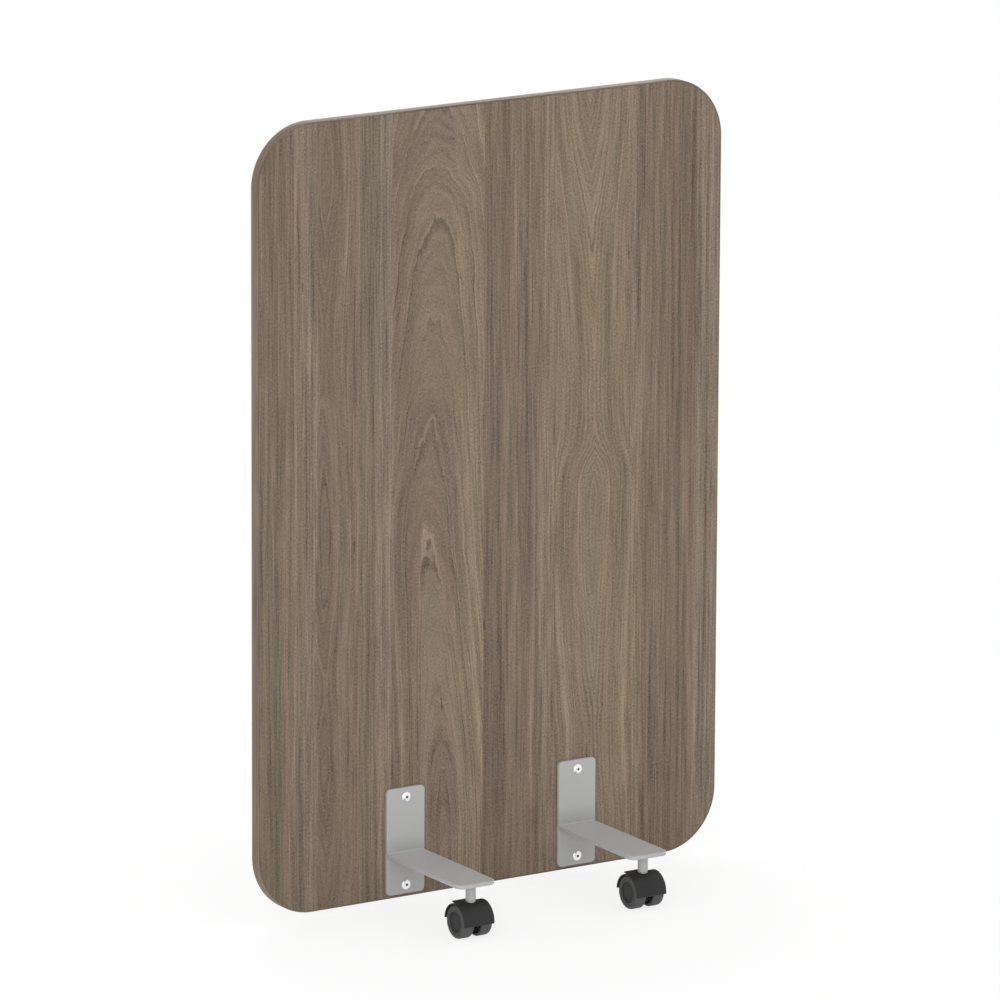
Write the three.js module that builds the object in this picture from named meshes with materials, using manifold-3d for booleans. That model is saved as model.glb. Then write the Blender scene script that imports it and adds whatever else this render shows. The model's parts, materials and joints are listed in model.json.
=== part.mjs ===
// Rolling partition: a wood-faced board with rounded corners that stands on four steel brackets,
// two on each face. Every bracket is a mounting plate with a foot arm welded to it, and every arm
// carries a hooded twin-wheel caster with a brake lever.
//
// Millimetres, +Z up. The origin is on the floor under the middle of the board. The board lies in
// the XZ plane, its front faces -Y, and its width runs along X.

import * as THREE from 'three';
import { mergeVertices } from 'three/addons/utils/BufferGeometryUtils.js';
import Module from 'manifold-3d';

const wasm = await Module();
wasm.setup();

// ---------------------------------------------------------------- driving dimensions

// Board and its edge band
const PANEL_WIDTH = 800;
const PANEL_HEIGHT = 1180;
const PANEL_THICKNESS = 18;
const PANEL_CORNER_RADIUS = 92;
const EDGE_BAND_THICKNESS = 2;
const GLUE_LINE = 0.1;
const BAND_BUTT_GAP = 0.4;

// Bracket: upright mounting plate and level foot arm
const BRACKET_SPACING = 300;
const PLATE_WIDTH = 65;
const PLATE_HEIGHT = 162;
const PLATE_THICKNESS = 6;
const PLATE_CORNER_RADIUS = 7;
const PLATE_ABOVE_PANEL_FOOT = 6;
const ARM_TOP_ABOVE_PLATE_FOOT = 64;
const ARM_WIDTH = 65;
const ARM_LENGTH = 200;
const ARM_THICKNESS = 6;
const ARM_TIP_RADIUS = 12;
const WELD_LEG = 3;
const STEM_FROM_ARM_TIP = 21;

// Through fasteners: a cap screw from the front into a sleeve nut from the rear
const SCREW_INSET = 14;
const SCREW_SHANK_RADIUS = 3;
const SCREW_HEAD_RADIUS = 7.5;
const SCREW_HEAD_HEIGHT = 3.4;
const SCREW_HEAD_RIM = 0.9;
const SOCKET_RADIUS = 2.3;
const SOCKET_DEPTH = 2;
const NUT_BARREL_RADIUS = 4.5;
const NUT_SOLID_LENGTH = 8;
const SCREW_TIP_GAP = 2;
const THREAD_ENGAGEMENT = 8;
const FASTENER_CLEARANCE = 0.35;

// Sleeve under the arm, and the caster's stem in it
const SLEEVE_RADIUS = 7.5;
const SLEEVE_LENGTH = 25.2;
const STEM_RADIUS = 4;
const STEM_SLEEVE_GAP = 0.6;
const STEM_TOP_GAP = 1;
const STEM_CHAMFER = 0.8;
const COLLAR_INSET = 0.5;
const COLLAR_THICKNESS = 1.2;
const COLLAR_GAP = 0.3;
const GRIP_RING_HEIGHT = 4;
const GRIP_RING_BELOW_TOP = 9;
const GRIP_GROOVE_DEPTH = 0.7;
const GRIP_RING_SPLIT = Math.PI / 9;
const SEAT_GAP = 0.2;

// Swivel bearing: the housing's bore turns on the stem, and a lip snaps into a groove of it
const STEM_IN_HOUSING = 19.5;
const SWIVEL_GAP = 0.35;
const SNAP_GROOVE_ABOVE_END = 4;
const SNAP_GROOVE_DEPTH = 0.6;
const SNAP_LIP_HEIGHT = 1.4;
const SNAP_LIP_PLAY = 0.4;
const SNAP_LIP_GAP = 0.35;

// Wheels, axle and hub caps
const WHEEL_RADIUS = 25;
const WHEEL_WIDTH = 18.5;
const WHEEL_EDGE = 1.6;
const RIM_WALL = 4.5;
const WHEEL_WEB = 3;
const HUB_RADIUS = 6.5;
const HUB_RECESS_RADIUS = 15.4;
const HUB_RECESS_DEPTH = 3.3;
const HUB_CAP_THICKNESS = 1.6;
const HUB_CAP_AXLE_ROOM = 3;
const AXLE_RADIUS = 3;
const AXLE_GAP = 0.3;
const AXLE_GROOVE_DEPTH = 0.4;
const AXLE_LIP_GAP = 0.15;
const AXLE_LIP_WIDTH = 1.4;
const AXLE_LIP_PLAY = 0.3;
const AXLE_TIP = 0.9;

// Housing: half-round hood over both wheels, with a middle web that holds stem and axle
const CASTER_TRAIL = 3;
const HOOD_WHEEL_GAP = 0.8;
const HOOD_WALL = 2.2;
const HOOD_SIDE_OVERHANG = 1;
const HOOD_SKIRT_BELOW_AXLE = 2;
const HOUSING_SIDE_GAP = 0.8;
const AXLE_BOSS_RADIUS = 8;
const STEM_BOSS_WALL = 1.85;
const STEM_BOSS_SIDE_WALL = 1.35;

// Brake lever on the hood's panel side
const LEVER_WIDTH = 28;
const LEVER_BOSS_GAP = 1.9;
const SHOE_CLEARANCE = 1.5;
const SHOE_END_ANGLE = THREE.MathUtils.degToRad(38);
const SHOE_WALL = 2.3;
const TAB_BELOW_CROWN = 2.8;
const TAB_BEND_RISE = 0.38;
const TAB_REACH = 13.5;
const TAB_THICKNESS = 2.4;
const TAB_UNDERCUT = 4.7;
const PIVOT_BELOW_HOOD = 5.8;
const CHEEK_RADIUS = 2.9;
const CHEEK_BOSS_GAP = 1.5;
const CHEEK_WHEEL_GAP = 1.9;
const CHEEK_SINK = 0.8;
const LUG_WIDTH = 4;
const LUG_ROOT = 1.1;
const LUG_GAP = 0.4;
const TRUNNION_RADIUS = 1.6;
const TRUNNION_LENGTH = 1.5;
const TRUNNION_GAP = 0.3;
const SLOT_GAP = 0.7;
const LEVER_DROP_ROOM = 2.3;

// ---------------------------------------------------------------- worked-out places

const halfBoard = PANEL_THICKNESS / 2;
const plateFaceY = -(halfBoard + PLATE_THICKNESS);
const armTipY = plateFaceY - ARM_LENGTH;
const stemY = armTipY + STEM_FROM_ARM_TIP;

const hoodInnerRadius = WHEEL_RADIUS + HOOD_WHEEL_GAP;
const hoodOuterRadius = hoodInnerRadius + HOOD_WALL;
const hoodTopZ = WHEEL_RADIUS + hoodOuterRadius;
const collarFootZ = hoodTopZ + COLLAR_GAP;
const sleeveFootZ = collarFootZ + COLLAR_THICKNESS + COLLAR_GAP;
const armFootZ = sleeveFootZ + SLEEVE_LENGTH;
const armTopZ = armFootZ + ARM_THICKNESS;
const plateFootZ = armTopZ - ARM_TOP_ABOVE_PLATE_FOOT;
const panelFootZ = plateFootZ - PLATE_ABOVE_PANEL_FOOT;
const screwHeights = [plateFootZ + SCREW_INSET, plateFootZ + PLATE_HEIGHT - SCREW_INSET];

const stemBoreRadius = STEM_RADIUS + SWIVEL_GAP;
const webHalfWidth = stemBoreRadius + STEM_BOSS_SIDE_WALL;
const halfWheelGap = webHalfWidth + HOUSING_SIDE_GAP;
const hoodHalfWidth = halfWheelGap + WHEEL_WIDTH + HOOD_SIDE_OVERHANG;
const sleeveBoreRadius = STEM_RADIUS + STEM_SLEEVE_GAP;
const axleBoreRadius = AXLE_RADIUS + AXLE_GAP;
const hubEndWidth = WHEEL_WIDTH - HUB_RECESS_DEPTH;

const clampedStack = PANEL_THICKNESS + 2 * PLATE_THICKNESS;
const screwShankLength = clampedStack - NUT_SOLID_LENGTH - SCREW_TIP_GAP;
const nutBarrelLength = NUT_SOLID_LENGTH + SCREW_TIP_GAP + THREAD_ENGAGEMENT;
const gripRingThickness = GRIP_GROOVE_DEPTH + STEM_SLEEVE_GAP - 2 * SEAT_GAP;

const stemBossHalf = stemBoreRadius + STEM_BOSS_WALL;
const stemBossFaceY = stemBossHalf - CASTER_TRAIL;
const leverStartY = stemBossFaceY + LEVER_BOSS_GAP;
const shoeRadius = WHEEL_RADIUS + SHOE_CLEARANCE;
const pivotY = stemBossFaceY + CHEEK_BOSS_GAP + CHEEK_RADIUS;
const pivotZ = Math.sqrt((hoodInnerRadius - PIVOT_BELOW_HOOD) ** 2 - pivotY ** 2);
const cheekThickness = halfWheelGap - CHEEK_WHEEL_GAP - LUG_WIDTH / 2 - LUG_GAP;
const tabTopZ = hoodOuterRadius - TAB_BELOW_CROWN;
const tabTipY = Math.sqrt(hoodOuterRadius ** 2 - tabTopZ ** 2) + TAB_REACH;

// How far a cutting body runs past what it cuts
const CUT_MARGIN = 2;

// How finely round shapes are divided: WHEEL_STEPS is a multiple of 4, so that a tread flat faces
// down and its distance from the axle is the wheel's radius.
const CORNER_STEPS = 10;
const PLATE_CORNER_STEPS = 4;
const ARM_TIP_STEPS = 6;
const ROUND_STEPS = 16;
const STEM_STEPS = 12;
const DOME_STEPS = 3;
const WHEEL_STEPS = 24;
const HOOD_STEPS = 20;
const LEVER_STEPS = 6;
const WELD_STEPS = 4;
const HEXAGON_SIDES = 6;
const treadRadius = WHEEL_RADIUS / Math.cos(Math.PI / WHEEL_STEPS);

// ---------------------------------------------------------------- materials

function material(color, roughness, metalness) {
  return new THREE.MeshStandardMaterial({ color, roughness, metalness });
}

const finishes = {
  laminate: () => material(0x81756a, 0.55, 0),
  edging: () => material(0x817466, 0.55, 0),
  coatedSteel: () => material(0xacaeae, 0.5, 0.2),
  zincSteel: () => material(0xb9bab8, 0.35, 0.9),
  brightSteel: () => material(0xe6e6e4, 0.22, 1),
  housingPlastic: () => material(0x3c3c3c, 0.55, 0),
  wheelPlastic: () => material(0x505050, 0.6, 0),
  capPlastic: () => material(0x404040, 0.6, 0),
};

// ---------------------------------------------------------------- helpers

function named(name, geometry, finish, x = 0, y = 0, z = 0) {
  const mesh = new THREE.Mesh(geometry, finishes[finish]());
  mesh.name = name;
  mesh.position.set(x, y, z);
  return mesh;
}

function solid(geometry) {
  const bare = geometry.clone();
  bare.deleteAttribute('normal');
  bare.deleteAttribute('uv');
  const merged = mergeVertices(bare);
  return new wasm.Manifold(new wasm.Mesh({
    numProp: 3,
    vertProperties: new Float32Array(merged.attributes.position.array),
    triVerts: new Uint32Array(merged.index.array),
  }));
}

function geometryOf(body) {
  const mesh = body.getMesh();
  const geometry = new THREE.BufferGeometry();
  geometry.setAttribute('position', new THREE.BufferAttribute(mesh.vertProperties, 3));
  geometry.setIndex(new THREE.BufferAttribute(mesh.triVerts, 1));
  return geometry;
}

// A section in the XZ plane, given thickness along Y, centred on y = 0.
function slab(shape, thickness, steps = CORNER_STEPS) {
  const options = { depth: thickness, bevelEnabled: false, curveSegments: steps };
  const geometry = new THREE.ExtrudeGeometry(shape, options);
  geometry.translate(0, 0, -thickness / 2);
  geometry.rotateX(Math.PI / 2);
  return geometry;
}

// A section in the YZ plane, given width along X, centred on x = 0.
function prism(shape, width, steps = CORNER_STEPS) {
  const options = { depth: width, bevelEnabled: false, curveSegments: steps };
  const geometry = new THREE.ExtrudeGeometry(shape, options);
  geometry.translate(0, 0, -width / 2);
  geometry.rotateX(Math.PI / 2);
  geometry.rotateZ(Math.PI / 2);
  return geometry;
}

// A profile of [radius, height] points, turned about Z.
function turned(profile, steps = ROUND_STEPS) {
  const points = profile.map(([radius, height]) => new THREE.Vector2(radius, height));
  const geometry = new THREE.LatheGeometry(points, steps);
  geometry.rotateX(Math.PI / 2);
  return geometry;
}

// The same, turned about X: heights run along +X.
function turnedAlongX(profile, steps = ROUND_STEPS) {
  const geometry = turned(profile, steps);
  geometry.rotateY(Math.PI / 2);
  return geometry;
}

function roundedRectangle(width, height, radius, footY) {
  const right = width / 2;
  const top = footY + height;
  const shape = new THREE.Shape();
  shape.absarc(right - radius, footY + radius, radius, -Math.PI / 2, 0, false);
  shape.absarc(right - radius, top - radius, radius, 0, Math.PI / 2, false);
  shape.absarc(radius - right, top - radius, radius, Math.PI / 2, Math.PI, false);
  shape.absarc(radius - right, footY + radius, radius, Math.PI, Math.PI * 1.5, false);
  return shape;
}

function circlePath(x, y, radius, steps = ROUND_STEPS) {
  const points = [];
  for (let step = 0; step < steps; step += 1) {
    const angle = (-2 * Math.PI * step) / steps;
    points.push(new THREE.Vector2(x + radius * Math.cos(angle), y + radius * Math.sin(angle)));
  }
  return new THREE.Path(points);
}

// ---------------------------------------------------------------- board and edge band

function boardGeometry() {
  const inset = EDGE_BAND_THICKNESS + GLUE_LINE;
  const shape = roundedRectangle(
    PANEL_WIDTH - 2 * inset,
    PANEL_HEIGHT - 2 * inset,
    PANEL_CORNER_RADIUS - inset,
    panelFootZ + inset,
  );
  const holeRadius = NUT_BARREL_RADIUS + FASTENER_CLEARANCE;
  for (const side of [-1, 1]) {
    for (const height of screwHeights) {
      shape.holes.push(circlePath(side * BRACKET_SPACING / 2, height, holeRadius));
    }
  }
  return slab(shape, PANEL_THICKNESS);
}

// One strip round the whole board, with its butt joint in the middle of the foot edge.
function edgeBandGeometry() {
  const gap = BAND_BUTT_GAP / 2;
  const inset = EDGE_BAND_THICKNESS;
  const outside = stripEdge(PANEL_WIDTH, PANEL_HEIGHT, PANEL_CORNER_RADIUS, panelFootZ, gap);
  const inside = stripEdge(
    PANEL_WIDTH - 2 * inset,
    PANEL_HEIGHT - 2 * inset,
    PANEL_CORNER_RADIUS - inset,
    panelFootZ + inset,
    gap,
  );
  const shape = new THREE.Shape([...outside, ...inside.reverse()]);
  return slab(shape, PANEL_THICKNESS);
}

// Points along one side of the strip, from one end of the butt joint round to the other.
function stripEdge(width, height, radius, footY, gap) {
  const outline = roundedRectangle(width, height, radius, footY).getPoints(CORNER_STEPS);
  return [new THREE.Vector2(gap, footY), ...outline, new THREE.Vector2(-gap, footY)];
}

// ---------------------------------------------------------------- brackets

function plateGeometry(holeRadius) {
  const shape = roundedRectangle(PLATE_WIDTH, PLATE_HEIGHT, PLATE_CORNER_RADIUS, plateFootZ);
  for (const height of screwHeights) {
    shape.holes.push(circlePath(0, height, holeRadius));
  }
  return slab(shape, PLATE_THICKNESS, PLATE_CORNER_STEPS);
}

// The arm's side view with a hollow weld fillet above and below, trimmed to the arm's plan.
function armGeometry() {
  const side = new THREE.Shape();
  side.moveTo(plateFaceY, armFootZ - WELD_LEG);
  side.lineTo(plateFaceY, armTopZ + WELD_LEG);
  side.absarc(plateFaceY - WELD_LEG, armTopZ + WELD_LEG, WELD_LEG, 0, -Math.PI / 2, true);
  side.lineTo(armTipY, armTopZ);
  side.lineTo(armTipY, armFootZ);
  side.absarc(plateFaceY - WELD_LEG, armFootZ - WELD_LEG, WELD_LEG, Math.PI / 2, 0, true);
  const profile = solid(prism(side, ARM_WIDTH, WELD_STEPS));
  return geometryOf(profile.intersect(armPlan()));
}

function armPlan() {
  const half = ARM_WIDTH / 2;
  const roundY = armTipY + ARM_TIP_RADIUS;
  const plan = new THREE.Shape();
  plan.moveTo(half, 0);
  plan.lineTo(-half, 0);
  plan.absarc(ARM_TIP_RADIUS - half, roundY, ARM_TIP_RADIUS, Math.PI, Math.PI * 1.5, false);
  plan.absarc(half - ARM_TIP_RADIUS, roundY, ARM_TIP_RADIUS, -Math.PI / 2, 0, false);
  const depth = ARM_THICKNESS + 2 * (WELD_LEG + CUT_MARGIN);
  const options = { depth, bevelEnabled: false, curveSegments: ARM_TIP_STEPS };
  const block = new THREE.ExtrudeGeometry(plan, options);
  block.translate(0, 0, armFootZ - WELD_LEG - CUT_MARGIN);
  return solid(block);
}

function sleeveGeometry() {
  return turned([
    [sleeveBoreRadius, sleeveFootZ],
    [SLEEVE_RADIUS, sleeveFootZ],
    [SLEEVE_RADIUS, armFootZ],
    [sleeveBoreRadius, armFootZ],
    [sleeveBoreRadius, sleeveFootZ],
  ]);
}

// ---------------------------------------------------------------- fasteners

// Half outline of a domed head that starts at height 0, from its rim to its middle.
function domeProfile() {
  const dome = [[SCREW_HEAD_RADIUS, 0], [SCREW_HEAD_RADIUS, SCREW_HEAD_RIM]];
  for (let step = 1; step <= DOME_STEPS; step += 1) {
    const angle = (Math.PI / 2) * (step / DOME_STEPS);
    const rise = (SCREW_HEAD_HEIGHT - SCREW_HEAD_RIM) * Math.sin(angle);
    const radius = step === DOME_STEPS ? 0 : SCREW_HEAD_RADIUS * Math.cos(angle);
    dome.push([radius, SCREW_HEAD_RIM + rise]);
  }
  return dome;
}

// A turned fastener along Z with a hexagon socket sunk in its head.
function withSocket(profile) {
  const depth = 2 * SOCKET_DEPTH;
  const socket = new THREE.CylinderGeometry(SOCKET_RADIUS, SOCKET_RADIUS, depth, HEXAGON_SIDES);
  socket.rotateX(Math.PI / 2);
  socket.translate(0, 0, SCREW_HEAD_HEIGHT);
  return geometryOf(solid(turned(profile)).subtract(solid(socket)));
}

function screwGeometry() {
  const geometry = withSocket([
    [0, -screwShankLength],
    [SCREW_SHANK_RADIUS, -screwShankLength],
    [SCREW_SHANK_RADIUS, 0],
    ...domeProfile(),
  ]);
  geometry.rotateX(Math.PI / 2);
  return geometry;
}

function sleeveNutGeometry() {
  const boreRadius = SCREW_SHANK_RADIUS + FASTENER_CLEARANCE;
  const geometry = withSocket([
    [0, -NUT_SOLID_LENGTH],
    [boreRadius, -NUT_SOLID_LENGTH],
    [boreRadius, -nutBarrelLength],
    [NUT_BARREL_RADIUS, -nutBarrelLength],
    [NUT_BARREL_RADIUS, 0],
    ...domeProfile(),
  ]);
  geometry.rotateX(-Math.PI / 2);
  return geometry;
}

// ---------------------------------------------------------------- caster stem

function stemGeometry() {
  const top = armFootZ - STEM_TOP_GAP;
  const foot = hoodTopZ - STEM_IN_HOUSING;
  const gripTop = armFootZ - GRIP_RING_BELOW_TOP;
  const gripFoot = gripTop - GRIP_RING_HEIGHT - 2 * SEAT_GAP;
  const gripRadius = STEM_RADIUS - GRIP_GROOVE_DEPTH;
  const collarRadius = SLEEVE_RADIUS - COLLAR_INSET;
  const snapRadius = STEM_RADIUS - SNAP_GROOVE_DEPTH;
  const snapFoot = foot + SNAP_GROOVE_ABOVE_END;
  const snapTop = snapFoot + SNAP_LIP_HEIGHT + 2 * SNAP_LIP_PLAY;
  return turned([
    [0, foot],
    [STEM_RADIUS - STEM_CHAMFER, foot],
    [STEM_RADIUS, foot + STEM_CHAMFER],
    [STEM_RADIUS, snapFoot],
    [snapRadius, snapFoot],
    [snapRadius, snapTop],
    [STEM_RADIUS, snapTop],
    [STEM_RADIUS, collarFootZ],
    [collarRadius, collarFootZ],
    [collarRadius, collarFootZ + COLLAR_THICKNESS],
    [STEM_RADIUS, collarFootZ + COLLAR_THICKNESS],
    [STEM_RADIUS, gripFoot],
    [gripRadius, gripFoot],
    [gripRadius, gripTop],
    [STEM_RADIUS, gripTop],
    [STEM_RADIUS, top - STEM_CHAMFER],
    [STEM_RADIUS - STEM_CHAMFER, top],
    [0, top],
  ], STEM_STEPS);
}

// Split spring ring that sits in the stem's groove and grips the sleeve's bore.
function gripRingGeometry() {
  const inner = STEM_RADIUS - GRIP_GROOVE_DEPTH + SEAT_GAP;
  const outer = inner + gripRingThickness;
  const start = GRIP_RING_SPLIT;
  const end = Math.PI * 2 - GRIP_RING_SPLIT;
  const shape = new THREE.Shape();
  shape.absarc(0, 0, outer, start, end, false);
  shape.absarc(0, 0, inner, end, start, true);
  const options = { depth: GRIP_RING_HEIGHT, bevelEnabled: false, curveSegments: STEM_STEPS };
  const geometry = new THREE.ExtrudeGeometry(shape, options);
  geometry.translate(0, 0, armFootZ - GRIP_RING_BELOW_TOP - SEAT_GAP - GRIP_RING_HEIGHT);
  return geometry;
}

// ---------------------------------------------------------------- caster housing

// In the caster's own frame the axle is the X axis through the origin, and the stem stands
// CASTER_TRAIL in front of it, at y = -CASTER_TRAIL.

function hoodShell() {
  const drop = Math.asin(HOOD_SKIRT_BELOW_AXLE / hoodOuterRadius);
  const innerDrop = Math.asin(HOOD_SKIRT_BELOW_AXLE / hoodInnerRadius);
  const arch = new THREE.Shape();
  arch.absarc(0, 0, hoodOuterRadius, -drop, Math.PI + drop, false);
  arch.absarc(0, 0, hoodInnerRadius, Math.PI + innerDrop, -innerDrop, true);
  const shell = solid(prism(arch, 2 * hoodHalfWidth, HOOD_STEPS));
  return shell.subtract(leverSlot());
}

// The window in the hood that the brake lever works through.
function leverSlot() {
  const nearY = leverStartY - SLOT_GAP;
  const lowZ = shoeEnd(shoeRadius).y - LEVER_DROP_ROOM;
  const width = LEVER_WIDTH + 2 * SLOT_GAP;
  const reach = hoodOuterRadius;
  const box = new THREE.BoxGeometry(width, reach, reach);
  box.translate(0, nearY + reach / 2, lowZ + reach / 2);
  return solid(box);
}

// Middle web: a boss round the axle that runs up into the boss round the stem.
function housingWeb() {
  const sunkZ = hoodInnerRadius + HOOD_WALL / 2;
  const web = new THREE.Shape();
  web.absarc(0, 0, AXLE_BOSS_RADIUS, Math.PI, Math.PI * 2, false);
  web.lineTo(stemBossFaceY, AXLE_BOSS_RADIUS);
  web.lineTo(stemBossFaceY, sunkZ);
  web.lineTo(-CASTER_TRAIL - stemBossHalf, hoodInnerRadius);
  web.lineTo(-CASTER_TRAIL - stemBossHalf, 0);
  return solid(prism(web, 2 * webHalfWidth, HOOD_STEPS / 2));
}

// Thin lug beside the stem boss that the brake lever turns on.
function leverLug() {
  const root = stemBossFaceY - LUG_ROOT;
  const underside = -Math.PI / 4;
  const lug = new THREE.Shape();
  lug.absarc(pivotY, pivotZ, CHEEK_RADIUS, underside, Math.PI / 2, false);
  lug.lineTo(root, pivotZ + CHEEK_RADIUS);
  lug.lineTo(root, pivotZ - 2 * CHEEK_RADIUS);
  lug.holes.push(circlePath(pivotY, pivotZ, TRUNNION_RADIUS + TRUNNION_GAP, STEM_STEPS));
  return solid(prism(lug, LUG_WIDTH, LEVER_STEPS));
}

// Bore for the stem, open at the hood's crown, with the snap lip near its blind end.
function stemBore() {
  const foot = hoodOuterRadius - STEM_IN_HOUSING;
  const lipRadius = STEM_RADIUS - SNAP_GROOVE_DEPTH + SNAP_LIP_GAP;
  const lipFoot = foot + SNAP_GROOVE_ABOVE_END + SNAP_LIP_PLAY;
  const bore = turned([
    [0, foot - SWIVEL_GAP],
    [stemBoreRadius, foot - SWIVEL_GAP],
    [stemBoreRadius, lipFoot],
    [lipRadius, lipFoot],
    [lipRadius, lipFoot + SNAP_LIP_HEIGHT],
    [stemBoreRadius, lipFoot + SNAP_LIP_HEIGHT],
    [stemBoreRadius, hoodOuterRadius + CUT_MARGIN],
    [0, hoodOuterRadius + CUT_MARGIN],
  ], STEM_STEPS);
  bore.translate(0, -CASTER_TRAIL, 0);
  return solid(bore);
}

// Round seat on the crown, level with the hood's highest line, under the stem's collar.
function crownSeat() {
  const seat = turned([
    [0, hoodInnerRadius],
    [SLEEVE_RADIUS, hoodInnerRadius],
    [SLEEVE_RADIUS, hoodOuterRadius],
    [0, hoodOuterRadius],
  ]);
  seat.translate(0, -CASTER_TRAIL, 0);
  return solid(seat);
}

function housingGeometry() {
  const axleHole = solid(turnedAlongX([
    [0, -halfWheelGap],
    [AXLE_RADIUS + SEAT_GAP, -halfWheelGap],
    [AXLE_RADIUS + SEAT_GAP, halfWheelGap],
    [0, halfWheelGap],
  ], STEM_STEPS));
  const body = hoodShell().add(crownSeat()).add(housingWeb()).add(leverLug());
  return geometryOf(body.subtract(stemBore()).subtract(axleHole));
}

// ---------------------------------------------------------------- wheels and axle

// Distances along the axle run from the middle of the caster.
function axleGeometry() {
  const lipFoot = halfWheelGap + hubEndWidth - AXLE_LIP_WIDTH;
  const groove = AXLE_RADIUS - AXLE_GROOVE_DEPTH;
  const grooveStart = lipFoot - AXLE_LIP_PLAY;
  const grooveEnd = lipFoot + AXLE_LIP_WIDTH + AXLE_LIP_PLAY;
  const half = [
    [AXLE_RADIUS, grooveStart],
    [groove, grooveStart],
    [groove, grooveEnd],
    [AXLE_RADIUS, grooveEnd],
    [AXLE_RADIUS - AXLE_GROOVE_DEPTH, grooveEnd + AXLE_TIP],
    [0, grooveEnd + AXLE_TIP],
  ];
  const mirrored = half.map(([radius, along]) => [radius, -along]).reverse();
  return turnedAlongX([...mirrored, ...half], STEM_STEPS);
}

// A wheel with its inner face at x = 0 and its outer face at +x: tread, rim, web and hub.
function wheelGeometry() {
  const webFoot = hubEndWidth - WHEEL_WEB;
  const lipRadius = AXLE_RADIUS - AXLE_GROOVE_DEPTH + AXLE_LIP_GAP;
  const rimInner = treadRadius - RIM_WALL;
  const wheel = turnedAlongX([
    [axleBoreRadius, 0],
    [HUB_RADIUS, 0],
    [HUB_RADIUS, webFoot],
    [rimInner, webFoot],
    [rimInner, 0],
    [treadRadius - WHEEL_EDGE, 0],
    [treadRadius, WHEEL_EDGE],
    [treadRadius, WHEEL_WIDTH - WHEEL_EDGE],
    [treadRadius - WHEEL_EDGE, WHEEL_WIDTH],
    [HUB_RECESS_RADIUS, WHEEL_WIDTH],
    [HUB_RECESS_RADIUS, hubEndWidth],
    [lipRadius, hubEndWidth],
    [lipRadius, hubEndWidth - AXLE_LIP_WIDTH],
    [axleBoreRadius, hubEndWidth - AXLE_LIP_WIDTH],
    [axleBoreRadius, 0],
  ], WHEEL_STEPS);
  wheel.rotateX(Math.PI / WHEEL_STEPS);
  return wheel;
}

// Cap pressed into the hub recess, over the axle's end.
function hubCapGeometry() {
  const radius = HUB_RECESS_RADIUS * Math.cos(Math.PI / WHEEL_STEPS) - SEAT_GAP;
  const hollowRadius = AXLE_RADIUS + HUB_CAP_AXLE_ROOM;
  const foot = hubEndWidth + SEAT_GAP;
  const roof = foot + HUB_CAP_THICKNESS;
  const tip = hubEndWidth + AXLE_LIP_PLAY + AXLE_TIP + SEAT_GAP;
  return turnedAlongX([
    [0, tip],
    [hollowRadius, tip],
    [hollowRadius, foot],
    [radius, foot],
    [radius, roof],
    [hollowRadius, roof + SEAT_GAP],
    [0, roof + SEAT_GAP],
  ], ROUND_STEPS);
}

// ---------------------------------------------------------------- brake lever

function shoeEnd(radius) {
  return new THREE.Vector2(radius * Math.cos(SHOE_END_ANGLE), radius * Math.sin(SHOE_END_ANGLE));
}

// Side view: a shoe that follows the treads, a top flush with the hood, and the pedal tab.
function leverPlate() {
  const innerStart = Math.acos(leverStartY / shoeRadius);
  const outerStart = Math.acos(leverStartY / hoodOuterRadius);
  const bend = Math.asin((tabTopZ + TAB_BEND_RISE) / hoodOuterRadius);
  const tip = TAB_THICKNESS / 2;
  const heel = shoeEnd(shoeRadius + SHOE_WALL);
  const side = new THREE.Shape();
  side.absarc(0, 0, shoeRadius, innerStart, SHOE_END_ANGLE, true);
  side.lineTo(heel.x, heel.y);
  side.lineTo(tabTipY - TAB_UNDERCUT, tabTopZ - TAB_THICKNESS);
  side.absarc(tabTipY - tip, tabTopZ - tip, tip, -Math.PI / 2, Math.PI / 2, false);
  side.absarc(0, 0, hoodOuterRadius, bend, outerStart, false);
  return solid(prism(side, LEVER_WIDTH, LEVER_STEPS));
}

// One cheek beside the lug, with its top sunk in the plate, and its trunnion in the lug's hole.
function leverCheek(side) {
  const inner = LUG_WIDTH / 2 + LUG_GAP;
  const sunkRadius = shoeRadius + CHEEK_SINK;
  const rightY = pivotY + CHEEK_RADIUS;
  const cheek = new THREE.Shape();
  cheek.absarc(pivotY, pivotZ, CHEEK_RADIUS, Math.PI, Math.PI * 2, false);
  cheek.lineTo(rightY, Math.sqrt(sunkRadius ** 2 - rightY ** 2));
  cheek.lineTo(leverStartY, Math.sqrt(sunkRadius ** 2 - leverStartY ** 2));
  const plate = prism(cheek, cheekThickness, LEVER_STEPS);
  plate.translate(side * (inner + cheekThickness / 2), 0, 0);
  const length = TRUNNION_LENGTH + cheekThickness;
  const trunnion = new THREE.CylinderGeometry(TRUNNION_RADIUS, TRUNNION_RADIUS, length, STEM_STEPS);
  trunnion.rotateZ(Math.PI / 2);
  trunnion.translate(side * (inner - TRUNNION_LENGTH + length / 2), pivotY, pivotZ);
  return solid(plate).add(solid(trunnion));
}

function leverGeometry() {
  return geometryOf(leverPlate().add(leverCheek(-1)).add(leverCheek(1)));
}

// ---------------------------------------------------------------- assembly

function addBracket(corner, place, isFront) {
  const shank = isFront ? SCREW_SHANK_RADIUS : NUT_BARREL_RADIUS;
  const plate = plateGeometry(shank + FASTENER_CLEARANCE);
  corner.add(named(`plate_${place}`, plate, 'coatedSteel', 0, plateFaceY + PLATE_THICKNESS / 2, 0));
  corner.add(named(`arm_${place}`, armGeometry(), 'coatedSteel'));
  corner.add(named(`stem_sleeve_${place}`, sleeveGeometry(), 'coatedSteel', 0, stemY, 0));
}

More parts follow.
